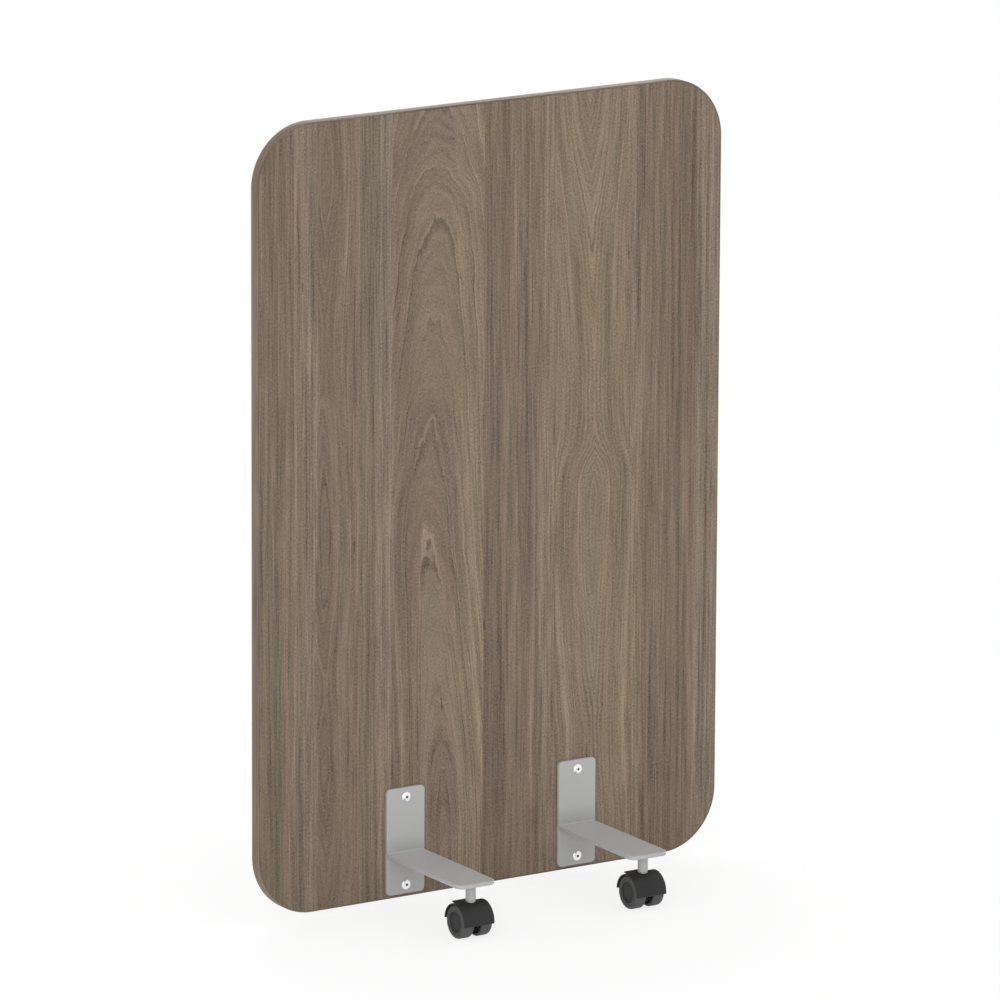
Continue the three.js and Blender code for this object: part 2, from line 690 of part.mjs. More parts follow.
function addCaster(corner, place, outerSide) {
  const caster = new THREE.Group();
  caster.position.set(0, stemY + CASTER_TRAIL, WHEEL_RADIUS);
  corner.add(named(`caster_stem_${place}`, stemGeometry(), 'zincSteel', 0, stemY, 0));
  corner.add(named(`grip_ring_${place}`, gripRingGeometry(), 'zincSteel', 0, stemY, 0));
  caster.add(named(`caster_hood_${place}`, housingGeometry(), 'housingPlastic'));
  caster.add(named(`brake_lever_${place}`, leverGeometry(), 'housingPlastic'));
  caster.add(named(`axle_${place}`, axleGeometry(), 'zincSteel'));
  for (const side of [-1, 1]) {
    const which = side === outerSide ? 'outer' : 'inner';
    const half = new THREE.Group();
    half.rotation.y = side < 0 ? Math.PI : 0;
    half.add(named(`wheel_${place}_${which}`, wheelGeometry(), 'wheelPlastic', halfWheelGap));
    half.add(named(`hub_cap_${place}_${which}`, hubCapGeometry(), 'capPlastic', halfWheelGap));
    caster.add(half);
  }
  corner.add(caster);
}

function addFasteners(partition, side, end) {
  const x = side * BRACKET_SPACING / 2;
  const levels = ['lower', 'upper'];
  levels.forEach((level, index) => {
    const z = screwHeights[index];
    const place = `${end}_${level}`;
    partition.add(named(`screw_${place}`, screwGeometry(), 'brightSteel', x, plateFaceY, z));
    partition.add(named(`sleeve_nut_${place}`, sleeveNutGeometry(), 'brightSteel', x, -plateFaceY, z));
  });
}

function buildPartition() {
  const partition = new THREE.Group();
  partition.add(named('board', boardGeometry(), 'laminate'));
  partition.add(named('edge_band', edgeBandGeometry(), 'edging'));
  const ends = [[-1, 'left'], [1, 'right']];
  for (const [side, end] of ends) {
    for (const isFront of [true, false]) {
      const corner = new THREE.Group();
      corner.position.x = side * BRACKET_SPACING / 2;
      corner.rotation.z = isFront ? 0 : Math.PI;
      const place = `${isFront ? 'front' : 'rear'}_${end}`;
      addBracket(corner, place, isFront);
      addCaster(corner, place, isFront ? side : -side);
      partition.add(corner);
    }
    addFasteners(partition, side, end);
  }
  return partition;
}

const partition = buildPartition();

export default partition;
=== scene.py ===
# %% [markdown]
# # A rolling partition
# The object is a wood-faced board that stands on four steel brackets, and each bracket stands on
# a small twin-wheel caster. The measured model gives every size and place. This file dresses it:
# each cell makes one piece or one finish, and each piece then rides on the body it belongs to.
# Lengths are in metres, the board faces -Y, and the origin is on the floor under its middle.

# %% Load the measured model and keep its box
import json
import math

import bmesh
import bpy
from mathutils import Matrix, Vector
from mathutils.geometry import tessellate_polygon

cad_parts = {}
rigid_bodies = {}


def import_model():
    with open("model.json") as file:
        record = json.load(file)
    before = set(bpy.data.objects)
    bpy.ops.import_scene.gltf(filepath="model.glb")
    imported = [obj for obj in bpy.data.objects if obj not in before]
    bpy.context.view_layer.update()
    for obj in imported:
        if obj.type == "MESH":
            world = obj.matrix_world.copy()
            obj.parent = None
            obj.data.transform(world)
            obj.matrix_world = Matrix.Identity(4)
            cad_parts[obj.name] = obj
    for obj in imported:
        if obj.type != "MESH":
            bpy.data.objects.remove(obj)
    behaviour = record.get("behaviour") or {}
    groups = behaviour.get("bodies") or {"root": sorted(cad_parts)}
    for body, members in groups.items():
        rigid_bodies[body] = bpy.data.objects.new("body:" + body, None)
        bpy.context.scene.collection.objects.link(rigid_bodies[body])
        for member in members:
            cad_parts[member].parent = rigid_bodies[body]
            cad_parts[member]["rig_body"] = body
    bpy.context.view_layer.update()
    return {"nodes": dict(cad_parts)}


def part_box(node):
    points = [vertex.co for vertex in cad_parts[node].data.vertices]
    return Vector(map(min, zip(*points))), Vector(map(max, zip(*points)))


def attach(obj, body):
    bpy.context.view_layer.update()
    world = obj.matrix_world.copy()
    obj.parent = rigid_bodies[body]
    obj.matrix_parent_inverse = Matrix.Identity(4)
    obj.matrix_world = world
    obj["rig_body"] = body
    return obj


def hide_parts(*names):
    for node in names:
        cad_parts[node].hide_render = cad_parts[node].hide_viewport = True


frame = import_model()
MM = 0.001
PLACES = ("front_left", "front_right", "rear_left", "rear_right")

# %% [markdown]
# ## Camera
# The photograph was taken from far away with a long lens, from the object's left and a little
# above. A turn, a height, a tiny roll and a distance fix the camera. Nothing is shifted, so the
# same camera can be carried round the object for the other views.

# %% Camera
CAMERA_TURN = math.radians(-32.45)
CAMERA_HEIGHT = math.radians(13.55)
CAMERA_ROLL = math.radians(0.273)
CAMERA_DISTANCE = 13.742
CAMERA_LENS = 336.2
LOOK_AT = Vector((0.0208, 0, 0.5945))


def camera_axes(turn, height, roll):
    """Right, up and backwards for a camera at that turn and height, rolled a little."""
    flat = math.cos(height)
    back = Vector((math.sin(turn) * flat, -math.cos(turn) * flat, math.sin(height)))
    level = Vector((math.cos(turn), math.sin(turn), 0))
    right = level * math.cos(roll) + back.cross(level) * math.sin(roll)
    return right, back.cross(right), back


def loose(name, data):
    """An object for a mesh, a camera or a lamp."""
    made = bpy.data.objects.new(name, data)
    bpy.context.scene.collection.objects.link(made)
    return made


def aimed(name, data, turn, height, distance, roll=0):
    """A camera or lamp that looks at the middle of the board."""
    axes = camera_axes(turn, height, roll)
    made = loose(name, data)
    made.matrix_world = Matrix(axes).transposed().to_4x4()
    made.location = LOOK_AT + axes[2] * distance
    return made


lens = bpy.data.cameras.new("camera")
lens.lens = CAMERA_LENS
lens.clip_end = 100
camera = aimed("camera", lens, CAMERA_TURN, CAMERA_HEIGHT, CAMERA_DISTANCE, CAMERA_ROLL)
bpy.context.scene.camera = camera
print("camera at", [round(v, 3) for v in camera.location])

# %% [markdown]
# ## Node trees as sums
# Materials and Geometry Nodes are both graphs of nodes. Writing them link by link is long and
# hard to read, so a Wire stands for one output, and +, -, * and / on wires add the Math nodes.
# Everything else comes from one method: names in lower case are a node's own settings, which
# are set first, and names with a capital are its sockets.


# %% Wires and graphs
class Wire:
    """One output of a node, which sums and products can be written with."""

    def __init__(self, graph, socket):
        self.graph = graph
        self.socket = socket

    def out(self, name):
        return Wire(self.graph, self.socket.node.outputs[name])

    def math(self, operation, *values):
        return self.graph.node("ShaderNodeMath", *values, operation=operation)

    def operator(operation, swapped=False):
        """A Python operator that adds a Math node."""
        if swapped:
            return lambda self, other: self.math(operation, other, self)
        return lambda self, other: self.math(operation, self, other)

    __add__ = __radd__ = operator("ADD")
    __mul__ = __rmul__ = operator("MULTIPLY")
    __sub__ = operator("SUBTRACT")
    __rsub__ = operator("SUBTRACT", swapped=True)
    __truediv__ = operator("DIVIDE")
    __pow__ = operator("POWER")
    __gt__ = operator("GREATER_THAN")
    __lt__ = operator("LESS_THAN")


class Graph:
    """A node tree with one method that adds any node to it."""

    def __init__(self, tree):
        self.tree = tree

    def node(self, kind, *values, **named):
        made = self.tree.nodes.new(kind)
        for key in [name for name in named if name.islower()]:
            self.set(made, key, named.pop(key))
        sockets = [s for s in made.inputs if s.enabled]
        for socket, value in zip(sockets, values):
            self.feed(socket, value)
        for name, value in named.items():
            label = name.replace("_", " ")
            self.feed(next(s for s in sockets if s.name == label), value)
        return Wire(self, next(s for s in made.outputs if s.enabled)) if made.outputs else made

    def set(self, made, key, value):
        if key == "stops":
            self.set_stops(made.color_ramp, value)
        elif key == "bends":
            self.set_bends(made.mapping, value)
        else:
            setattr(made, key, value)

    def set_stops(self, ramp, stops):
        while len(ramp.elements) < len(stops):
            ramp.elements.new(1.0)
        for element, (position, colour) in zip(ramp.elements, stops):
            element.position = position
            element.color = (*colour, 1)

    def set_bends(self, mapping, bends):
        curve = mapping.curves[0]
        for place, height in bends[1:-1]:
            curve.points.new(place, height)
        for point, bend in zip(curve.points, bends):
            point.location = bend
        mapping.update()

    def feed(self, socket, value):
        if isinstance(value, Wire):
            self.tree.links.new(value.socket, socket)
        else:
            socket.default_value = value

    def clamp(self, value, low, high):
        """How far a value has come from low to high, from 0 to 1, with soft ends."""
        ends = (low, high, 0.0, 1.0)
        return self.node("ShaderNodeMapRange", value, *ends, interpolation_type="SMOOTHSTEP")

    def vector(self, x=0.0, y=0.0, z=0.0):
        return self.node("ShaderNodeCombineXYZ", x, y, z)

    def noise(self, vector, scale=1.0, detail=2.0):
        """Noise about 0, mostly between -0.2 and 0.2."""
        made = self.node("ShaderNodeTexNoise", Vector=vector, Scale=scale, Detail=detail)
        return made - 0.5


# %% [markdown]
# ## Finishes
# Colours are written as they are seen, from 0 to 255, and turned into the linear numbers that
# a shader adds and multiplies with. Each finish starts from one Principled shader. A helper
# brightens or darkens a colour without touching its hue.


# %% Colour and finish helpers
def seen(red, green, blue):
    """A colour as it looks on a screen, as linear values."""
    parts = (red / 255, green / 255, blue / 255)
    return tuple(((p + 0.055) / 1.055) ** 2.4 if p > 0.04045 else p / 12.92 for p in parts)


class Finish(Graph):
    """The graph of one material, with its Principled shader."""

    def __init__(self, name, **constants):
        self.material = bpy.data.materials.new(name)
        self.material.use_nodes = True
        super().__init__(self.material.node_tree)
        self.shader = self.tree.nodes["Principled BSDF"]
        for key, value in constants.items():
            self.shader.inputs[key.replace("_", " ")].default_value = value

    def point(self):
        """Where a point is on the object."""
        return self.node("ShaderNodeTexCoord").out("Object")

    def axes(self):
        """The same place as its x, y and z."""
        x = self.node("ShaderNodeSeparateXYZ", self.point())
        return x, x.out("Y"), x.out("Z")

    def mixed(self, factor, first, second):
        return self.node("ShaderNodeMix", data_type="RGBA", Factor=factor, A=first, B=second)

    def times(self, colour, factors):
        return self.node("ShaderNodeVectorMath", colour, factors, operation="MULTIPLY")

    def scaled(self, colour, factor):
        return self.node("ShaderNodeVectorMath", colour, operation="SCALE", Scale=factor)

    def finish(self, colour, roughness, height, depth):
        """Feeds what changes over the surface to the shader."""
        bump = self.node("ShaderNodeBump", Distance=depth, Height=height)
        fed = {"Base Color": colour, "Roughness": roughness, "Normal": bump}
        for label, value in fed.items():
            self.feed(self.shader.inputs[label], value)
        return self.material


# %% [markdown]
# ## Wood laminate
# The facing is a printed wood grain under a matt film. Wood is light and dark by its growth
# rings, so the grain is drawn as one coordinate that crosses the rings, and fine noise along it.
# On plain staves that coordinate is simply x. Where the cut runs near the heart of the tree it
# is the distance from a line that dives slowly into the board, which gives nested arches.


# %% Tones and staves
WOOD = {
    "moss": seen(115, 103, 87),
    "reed": seen(121, 109, 93),
    "ash": seen(130, 117, 102),
    "umber": seen(118, 104, 89),
    "clay": seen(124, 109, 94),
    "tan": seen(128, 113, 98),
    "straw": seen(133, 118, 101),
}
# Left edge of each stave in mm from the board's middle, its tone, and the soft edge before it.
STAVES = (
    (-400, "moss", 0), (-352, "clay", 8), (-322, "ash", 10), (-300, "umber", 1),
    (-262, "clay", 16), (-234, "reed", 10), (-200, "ash", 12), (-170, "clay", 5),
    (-128, "tan", 20), (-66, "straw", 20), (-13, "umber", 3), (30, "clay", 22),
    (88, "straw", 14), (262, "clay", 8), (304, "umber", 8), (357, "ash", 2),
)
BOARD_HALF = 0.4
BOARD_SPAN = 1.2


def stave_stops():
    """Ramp stops over the board's width: each stave holds its tone up to the next soft edge."""
    stops = []
    held = WOOD[STAVES[0][1]]
    for left, tone, edge in STAVES:
        place = (left * MM + BOARD_HALF) / (2 * BOARD_HALF)
        half = edge * MM / 2 / (2 * BOARD_HALF)
        if edge:
            stops.append((place - half, held))
        held = WOOD[tone]
        stops.append((place + half, held))
    return stops


# %% [markdown]
# Three staves carry a figure. Each is given by the path of the tree's heart, at a few heights:
# where it runs across the board, and how deep it lies behind the face. Where it dives upwards
# the rings close in arches, and where it rises towards the face they close in a V. The edge
# between a figure and the straight grain beside it is ragged, so that it reads as grain too.

# %% Figured staves
# Left and right edge of the stave in mm from the board's middle, how strong main and fine rings
# are, how pointed they are, and the path of the heart as height, middle and depth.
ARCHES = (-171, -13, 1.15, 0.4, 0.0, (
    (0, -80, 0), (150, -82, 9), (300, -90, 28), (430, -100, 37), (570, -110, 45),
    (728, -105, 60), (890, -100, 75), (1042, -95, 90), (1115, -97, 105), (1200, -95, 118),
))
CHEVRONS = (112, 243, 0.5, 1.0, 0.4, (
    (0, 190, 58), (190, 186, 70), (330, 180, 63), (430, 178, 56), (550, 178, 50), (600, 180, 51),
    (690, 180, 80), (820, 178, 80), (990, 172, 68), (1020, 172, 63), (1105, 170, 43),
    (1200, 168, 20),
))
FLAMES = (-300, -236, 0.5, 0.9, 0.3, (
    (0, -284, 42), (100, -284, 36), (250, -288, 24), (350, -286, 30), (440, -288, 21),
    (560, -286, 12), (720, -290, 22), (850, -288, 34), (1010, -286, 22), (1120, -284, 12),
    (1200, -286, 18),
))
FIGURES = (ARCHES, CHEVRONS, FLAMES)
HEART_SPAN = 0.13
HEART_LEFT = -0.3
HEART_WIDTH = 0.5
MAIN_RING = 0.015
FINE_RING = 0.0034
# Width and length of a flame in mm, and how far it moves the heart's depth or a stave's edge.
FLAMES_OF_RINGS = ((7, 30, 0.0040), (24, 70, 0.0070))
RAGGED = (2.5, 150, 0.03)


def along_height(finish, height, pairs, low, span):
    """A length that changes with height, from pairs of height and length in mm."""
    bends = [(z * MM / BOARD_SPAN, (value * MM - low) / span) for z, value in pairs]
    curve = finish.node("ShaderNodeFloatCurve", bends=bends, Value=height / BOARD_SPAN)
    return curve * span + low


def stretched_noise(finish, x, z, width, length, seed, detail=1.0):
    """Noise whose spots are as wide and long as given, in mm."""
    return finish.noise(finish.vector(x / (width * MM), z / (length * MM), seed), detail=detail)


def weighed_noise(finish, x, z, spots, seed, detail=1.0):
    """The same, for spots that are given with their strength."""
    width, length, strength = spots
    return stretched_noise(finish, x, z, width, length, seed, detail) * strength


def ring_coordinate(finish, x, z):
    """Distance from the heart, and how strong main and fine rings are and how upright they run."""
    flame = 0.0
    for spots in FLAMES_OF_RINGS:
        flame = weighed_noise(finish, x, z, spots, spots[0], 2.0) + flame
    edge = x + weighed_noise(finish, x, z, RAGGED, 23.0)
    across, upright, main, fine = x, 1.0, 0.0, 0.0
    for left, right, main_here, fine_here, pointed, path in FIGURES:
        inside = (edge > left * MM) * (edge < right * MM)
        middle = along_height(finish, z, [(h, m) for h, m, d in path], HEART_LEFT, HEART_WIDTH)
        depth = along_height(finish, z, [(h, d) for h, m, d in path], 0.0, HEART_SPAN) + flame
        offset = x.math("ABSOLUTE", x - middle)
        distance = (offset * offset + depth * depth) ** 0.5 * (1 - pointed) + offset * pointed
        across = across * (1 - inside) + distance * inside
        upright = upright * (1 - inside) + offset / distance * inside
        main = inside * main_here + main
        fine = inside * fine_here + fine
    return across, upright, main, fine


# %% [markdown]
# The grain itself is streaks: noise that is stretched many times further along the board than
# across it. Broad streaks give the soft bands, and narrow ones the single fibres. Pores are
# short dark dashes. A ring line is thin and dark, with a pale line on its outer side and a soft
# shade on its inner side, and no two rings are equally strong.

# %% Grain
# Width and length of a streak in mm, and how strongly it shades.
STREAKS = (
    (26, 1500, 0.34), (11, 700, 0.56), (5.5, 300, 0.58), (3.2, 160, 0.70), (2.2, 60, 0.72),
)
SPECK = (2.2, 3.2, 1.00)
PORE = (1.4, 16)
MOTTLE = (30, 72, 0.12)
HUE = (17, 800, 0.13)
DRIFT = (90, 600, 0.012)
FADING = (22, 60)
PORE_SHADE = 0.17
FLECK_SHADE = 0.45
# How strongly the soft shade, the dark, the pale and the fine line of a ring show.
RING_SHADE, RING_DARK, RING_PALE, RING_FINE = 0.06, 0.15, 0.16, 0.10
PRINT_TONE = 0.965
PRINT_RELIEF = 0.00006
# Middle, height, half width and half length of each dark fleck in mm.
FLECKS = (
    (238, 945, 1.5, 14), (265, 1105, 1.2, 90), (-85, 300, 1.5, 12), (-12, 410, 1.4, 10),
    (-324, 955, 1.6, 9), (-236, 560, 1.4, 11), (170, 190, 1.6, 16), (60, 1000, 1.2, 20),
)


def streaks(finish, across, along):
    """Sum of the streaks, about 0, as a share of the wood's brightness."""
    shade = 0.0
    for number, spots in enumerate(STREAKS):
        shade = weighed_noise(finish, across, along, spots, 3.7 * number) + shade
    return shade


def pores(finish, across, along):
    """1 in a pore and 0 outside it."""
    return finish.clamp(stretched_noise(finish, across, along, *PORE, 41.0), 0.14, 0.26)


def flecks(finish, x, z):
    """1 in the middle of a fleck, a short dark check in the wood, and 0 outside it."""
    dark = 0.0
    for middle, height, width, length in FLECKS:
        across = (x - middle * MM) / (width * MM)
        along = (z - height * MM) / (length * MM)
        dark = dark + (1 - finish.clamp(across * across + along * along, 0.2, 1.2))
    return dark


def ring_lines(finish, across, x, z, upright, main, fine):
    """Dark and pale lines at the growth rings, about 0."""
    rings = across / MAIN_RING
    number = rings.math("FLOOR", rings)
    own = finish.node("ShaderNodeTexWhiteNoise", number, noise_dimensions="1D")
    fading = finish.clamp(stretched_noise(finish, x, z, *FADING, 61.0), -0.24, 0.06)
    phase = rings.math("FRACT", rings)
    shade = finish.clamp(phase, 0.5, 0.9) * (phase < 0.92) * RING_SHADE
    dark = finish.clamp(phase, 0.80, 0.88) * (phase < 0.92) * RING_DARK
    pale = finish.clamp(phase, 0.9, 0.94) * (phase < 0.99) * RING_PALE
    wave = across.math("SINE", across * (2 * math.pi / FINE_RING))
    lines = (pale - dark) * fading - shade
    fine_line_or_corner_shade = wave * (1.1 - upright) * (0.4 + fading) * RING_FINE
    return lines * (own * 0.6 + 0.6) * main + fine_line_or_corner_shade * fine


def laminate():
    finish = Finish("wood_laminate", Specular_IOR_Level=0.1)
    x, _, z = finish.axes()
    across, upright, main, fine = ring_coordinate(finish, x, z)
    drift = weighed_noise(finish, x, z, DRIFT, 7.0)
    place = (x + drift) / (2 * BOARD_HALF) + 0.5
    tone = finish.node("ShaderNodeValToRGB", place, stops=stave_stops())
    hue = weighed_noise(finish, across, z, HUE, 77.0)
    tone = finish.times(tone, finish.vector(1 + hue, 1.0, 1.0))
    mottle = weighed_noise(finish, x, z, MOTTLE, 9.0, 3.0)
    speck = weighed_noise(finish, x, z, SPECK, 57.0)
    pore = pores(finish, across, z)
    grain = streaks(finish, across, z) * (0.35 + 0.65 * upright) + speck + mottle
    shade = grain + ring_lines(finish, across, x, z, upright, main, fine)
    shade = shade - pore * PORE_SHADE - flecks(finish, x, z) * FLECK_SHADE
    colour = finish.scaled(tone, PRINT_TONE + shade)
    rough = 0.5 + pore * 0.12 - shade * 0.15
    return finish.finish(colour, rough, shade - pore * 0.6, depth=PRINT_RELIEF)


laminate_finish = laminate()
print("laminate nodes", len(laminate_finish.node_tree.nodes))

# %% [markdown]
# The edge band is the same print on a thin plastic strip. Its grain runs along the strip, so it
# reads how far along the strip a point lies, which the strip's own mesh carries as "run".


# %% Edging
EDGING_TONE = 0.89
# The strip is cut from another part of the print, this far across it.
STRIP_ACROSS = 0.5
TONE_LENGTH = 0.3


def edging():
    finish = Finish("wood_edging", Specular_IOR_Level=0.1)
    _, y, _ = finish.axes()
    run = finish.node("ShaderNodeAttribute", attribute_name="run").out("Fac")
    across = y + STRIP_ACROSS
    shade = streaks(finish, across, run)
    pore = pores(finish, across, run)
    drift = finish.noise(finish.vector(run / TONE_LENGTH, 0.0, 5.0), detail=2.0)
    tone = finish.mixed(finish.clamp(drift, -0.15, 0.15), (*WOOD["clay"], 1), (*WOOD["ash"], 1))
    colour = finish.scaled(tone, EDGING_TONE + shade * 0.8 - pore * 0.1)
    return finish.finish(colour, 0.46 - shade * 0.15, shade - pore * 0.5, depth=0.00005)


edging_finish = edging()

# %% [markdown]
# ## Steel and plastic
# The brackets are powder coated: a cured powder keeps a faint orange-peel surface, and its
# sheen varies a little. The coat is painted darker, and made a little rougher, in the inner
# corner just above the arm, as painted shade. Zinc plating is duller than chrome and slightly
# cloudy, and the floor of each screw socket is painted dark as painted shade. Moulded plastic
# takes the fine grain of its mould, and a caster's tread is scuffed where it rolls. A wheel's
# outer band is painted paler, as a painted highlight on its rounded rim.


# %% Coated steel
PLATE_FACE = -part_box("plate_front_left")[0].y
WELD_LEG = 0.003
ARM_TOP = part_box("arm_front_left")[1].z - WELD_LEG
# How far the painted corner shade reaches above the arm and out from the plate, and how dark it
# is.
CORNER_SHADE_ABOVE = 0.034
CORNER_SHADE_AHEAD = 0.007
CORNER_SHADE_STRENGTH = 0.16


def painted_corner_shade(finish, y, z):
    """Painted shade in the inner corner above the arm: 1 in the corner, and 0 away from it."""
    rise = z - ARM_TOP
    above = (1 - finish.clamp(rise, 0.0, CORNER_SHADE_ABOVE)) * (rise > -0.0005)
    return above * (1 - finish.clamp(y.math("ABSOLUTE", y) - PLATE_FACE, 0.001, CORNER_SHADE_AHEAD))


def coated_steel():
    finish = Finish("powder_coat", Metallic=0.0, Specular_IOR_Level=0.4)
    point = finish.point()
    _, y, z = finish.axes()
    # Painted shade: the inner corner above the arm, weld included, is painted darker and made a
    # little rougher.
    fine_line_or_corner_shade = painted_corner_shade(finish, y, z)
    peel = finish.noise(point, scale=650.0, detail=2.0)
    cloud = finish.noise(point, scale=22.0, detail=3.0)
    speck = finish.noise(point, scale=2600.0, detail=1.0)
    shade = cloud * 0.10 + speck * 0.12 - fine_line_or_corner_shade * CORNER_SHADE_STRENGTH
    rough = 0.52 + cloud * 0.2 + peel * 0.1 + fine_line_or_corner_shade * 0.1
    return finish.finish(finish.scaled(seen(176, 176, 175), 1 + shade), rough, peel, depth=0.00005)


# %% Plated steels
def zinc_steel():
    finish = Finish("zinc_plate", Metallic=1.0)
    x, y, z = finish.axes()
    cloud = finish.noise(finish.point(), scale=260.0, detail=4.0)
    turn = finish.noise(finish.vector(x * 90.0, y * 90.0, z * 5200.0), detail=2.0)
    colour = finish.scaled(seen(196, 197, 196), 1 + cloud * 0.35)
    return finish.finish(colour, 0.33 + cloud * 0.3 + turn * 0.12, turn, depth=0.00002)


def bright_steel():
    finish = Finish("bright_plate", Metallic=1.0)
    cloud = finish.noise(finish.point(), scale=420.0, detail=3.0)
    recess = finish.node("ShaderNodeAttribute", attribute_name="recess").out("Fac")
    # Painted shade: the floor of each hex socket is painted dark, and made a little rougher.
    colour = finish.scaled(seen(246, 246, 245), (1 + cloud * 0.06) * (1 - recess * 0.85))
    return finish.finish(colour, 0.34 + cloud * 0.2 + recess * 0.2, cloud, depth=0.00001)


# %% Axle middle, and where the painted highlight on a wheel's outer band starts
axle_low, axle_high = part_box("axle_rear_left")
AXLE_REACH = (axle_low.y + axle_high.y) / 2
AXLE_RISE = (axle_low.z + axle_high.z) / 2
HIGHLIGHT_RADIUS = 0.0205
HIGHLIGHT_EDGE = 0.0008
print("axle reach and rise", round(AXLE_REACH, 4), round(AXLE_RISE, 4))


# %% Moulded plastics
def plastic(name, tone, roughness, grain, scuff, rim_highlight=0.0):
    """Moulded plastic: `grain` is the size of its mould texture, `scuff` how worn it is, and
    `rim_highlight` how much paler a wheel's outer band is painted, as a painted highlight."""
    finish = Finish(name, Specular_IOR_Level=0.22)
    point = finish.point()
    texture = finish.noise(point, scale=1 / grain, detail=2.0)
    cloud = finish.noise(point, scale=60.0, detail=3.0)
    worn = finish.clamp(finish.noise(point, scale=210.0, detail=5.0), 0.1, 0.3) * scuff
    shade = cloud * 0.22 + texture * 0.18 + worn
    if rim_highlight:
        _, y, z = finish.axes()
        reach = y.math("ABSOLUTE", y) - AXLE_REACH
        rise = z - AXLE_RISE
        radius = (reach * reach + rise * rise) ** 0.5
        # Painted highlight: beyond this radius from the axle, the wheel's outer band is painted
        # paler.
        shade = shade + finish.clamp(radius, HIGHLIGHT_RADIUS, HIGHLIGHT_RADIUS + HIGHLIGHT_EDGE) * rim_highlight
    rough = roughness + cloud * 0.2 + worn * 0.3
    colour = finish.scaled(seen(tone, tone, tone), 1 + shade)
    return finish.finish(colour, rough, texture, depth=0.00004)


# %% All finishes by slot
FINISHES = {
    "laminate": laminate_finish,
    "edging": edging_finish,
    "coated_steel": coated_steel(),
    "zinc_steel": zinc_steel(),
    "bright_steel": bright_steel(),
    "housing_plastic": plastic("hood_plastic", 44, 0.5, 0.0007, 0.05),
    "wheel_plastic": plastic("tread_plastic", 68, 0.58, 0.0011, 0.16, rim_highlight=0.5),
    "cap_plastic": plastic("cap_plastic", 48, 0.52, 0.0008, 0.06),
}
print("finishes", sorted(FINISHES))

# %% [markdown]
# ## Making shapes
# Two kinds of shape make most of the object. A slab is a flat outline with thickness and softly
# rounded edges. A turned shape is a profile spun about an axis. Both are built ring by ring, so
# that every edge is rounded in the mesh itself. A flat face is kept crisp by marking its rim.

# %% Rings of points
ROUNDING = 5


def arc_points(middle, radius, start, end, steps):
    turns = [start + (end - start) * step / steps for step in range(steps + 1)]
    return [(middle[0] + radius * math.cos(a), middle[1] + radius * math.sin(a)) for a in turns]


def circle_points(middle, radius, steps):
    return arc_points(middle, radius, 0, 2 * math.pi, steps)[:-1]


def add_ring(mesh, points):
    return [mesh.verts.new(p) for p in points]


def bridge(mesh, lower, upper):
    """Faces between two rings, either of which may be one point."""
    count = max(len(lower), len(upper))
    for step in range(count):
        after = (step + 1) % count
        a, b = lower[step % len(lower)], lower[after % len(lower)]
        c, d = upper[after % len(upper)], upper[step % len(upper)]
        mesh.faces.new([v for i, v in enumerate((a, b, c, d)) if v not in (a, b, c, d)[:i]])


def skin(mesh, rings, ends=False):
    """Faces along a row of rings, with the first and last one closed where `ends` says so."""
    for lower, upper in zip(rings, rings[1:]):
        bridge(mesh, lower, upper)
    if ends:
        mesh.faces.new(rings[0])
        mesh.faces.new(rings[-1])
    return mesh


def to_mesh(shape, name, sharp=None):
    """Ends a bmesh: faces outwards, smooth, and sharp at angles over `sharp` degrees."""
    bmesh.ops.recalc_face_normals(shape, faces=shape.faces)
    for face in shape.faces:
        face.smooth = True
    mesh = bpy.data.meshes.new(name)
    shape.to_mesh(mesh)
    shape.free()
    if sharp is not None:
        mesh.set_sharp_from_angle(angle=math.radians(sharp))
    return mesh


# %% Slabs
UPRIGHT = Matrix.Rotation(math.pi / 2, 4, "X")


def rounded_outline(left, right, foot, top, radii, steps):
    """A rectangle with its own radius at each corner, anticlockwise from the lower left."""
    corners = ((left, foot, 1, 1), (right, foot, -1, 1), (right, top, -1, -1), (left, top, 1, -1))
    points = []
    for quarter, ((x, y, side, rise), radius) in enumerate(zip(corners, radii)):
        middle = (x + side * radius, y + rise * radius)
        start = math.pi + quarter * math.pi / 2
        points += arc_points(middle, radius, start, start + math.pi / 2, steps)
    return points


def cap(mesh, rim, holes):
    """Closes a flat face that has round holes, and keeps its rim crisp."""
    loops = [[v.co for v in rim], *[[v.co for v in hole] for hole in holes]]
    flat = [v for loop in (rim, *holes) for v in loop]
    for triangle in tessellate_polygon(loops):
        mesh.faces.new([flat[i] for i in triangle])
    for loop in (rim, *holes):
        for first, second in zip(loop, loop[1:] + loop[:1]):
            mesh.edges.get((first, second)).smooth = False


def slab(outline_at, thickness, edge, holes=(), steps=24):
    """A slab about z = 0. `outline_at` gives its outline inset by a length, and `holes` lists
    the middle and radius of each hole."""
    mesh = bmesh.new()
    half = thickness / 2
    bends = [math.pi / 2 * step / ROUNDING for step in range(ROUNDING + 1)]
    front = [(edge * (1 - math.sin(a)), half - edge * (1 - math.cos(a))) for a in bends]
    levels = front + [(inset, -height) for inset, height in reversed(front)]
    rings = [add_ring(mesh, [(*p, z) for p in outline_at(inset)]) for inset, z in levels]
    skin(mesh, rings)
    walls = []
    for *middle, radius in holes:
        circle = circle_points(middle, radius, steps)
        walls.append([add_ring(mesh, [(*p, z) for p in circle]) for z in (half, -half)])
        bridge(mesh, *walls[-1])
    cap(mesh, rings[0], [wall[0] for wall in walls])
    cap(mesh, rings[-1], [wall[1] for wall in walls])
    return mesh


# %% Turned shapes
TURN_STEPS = 72


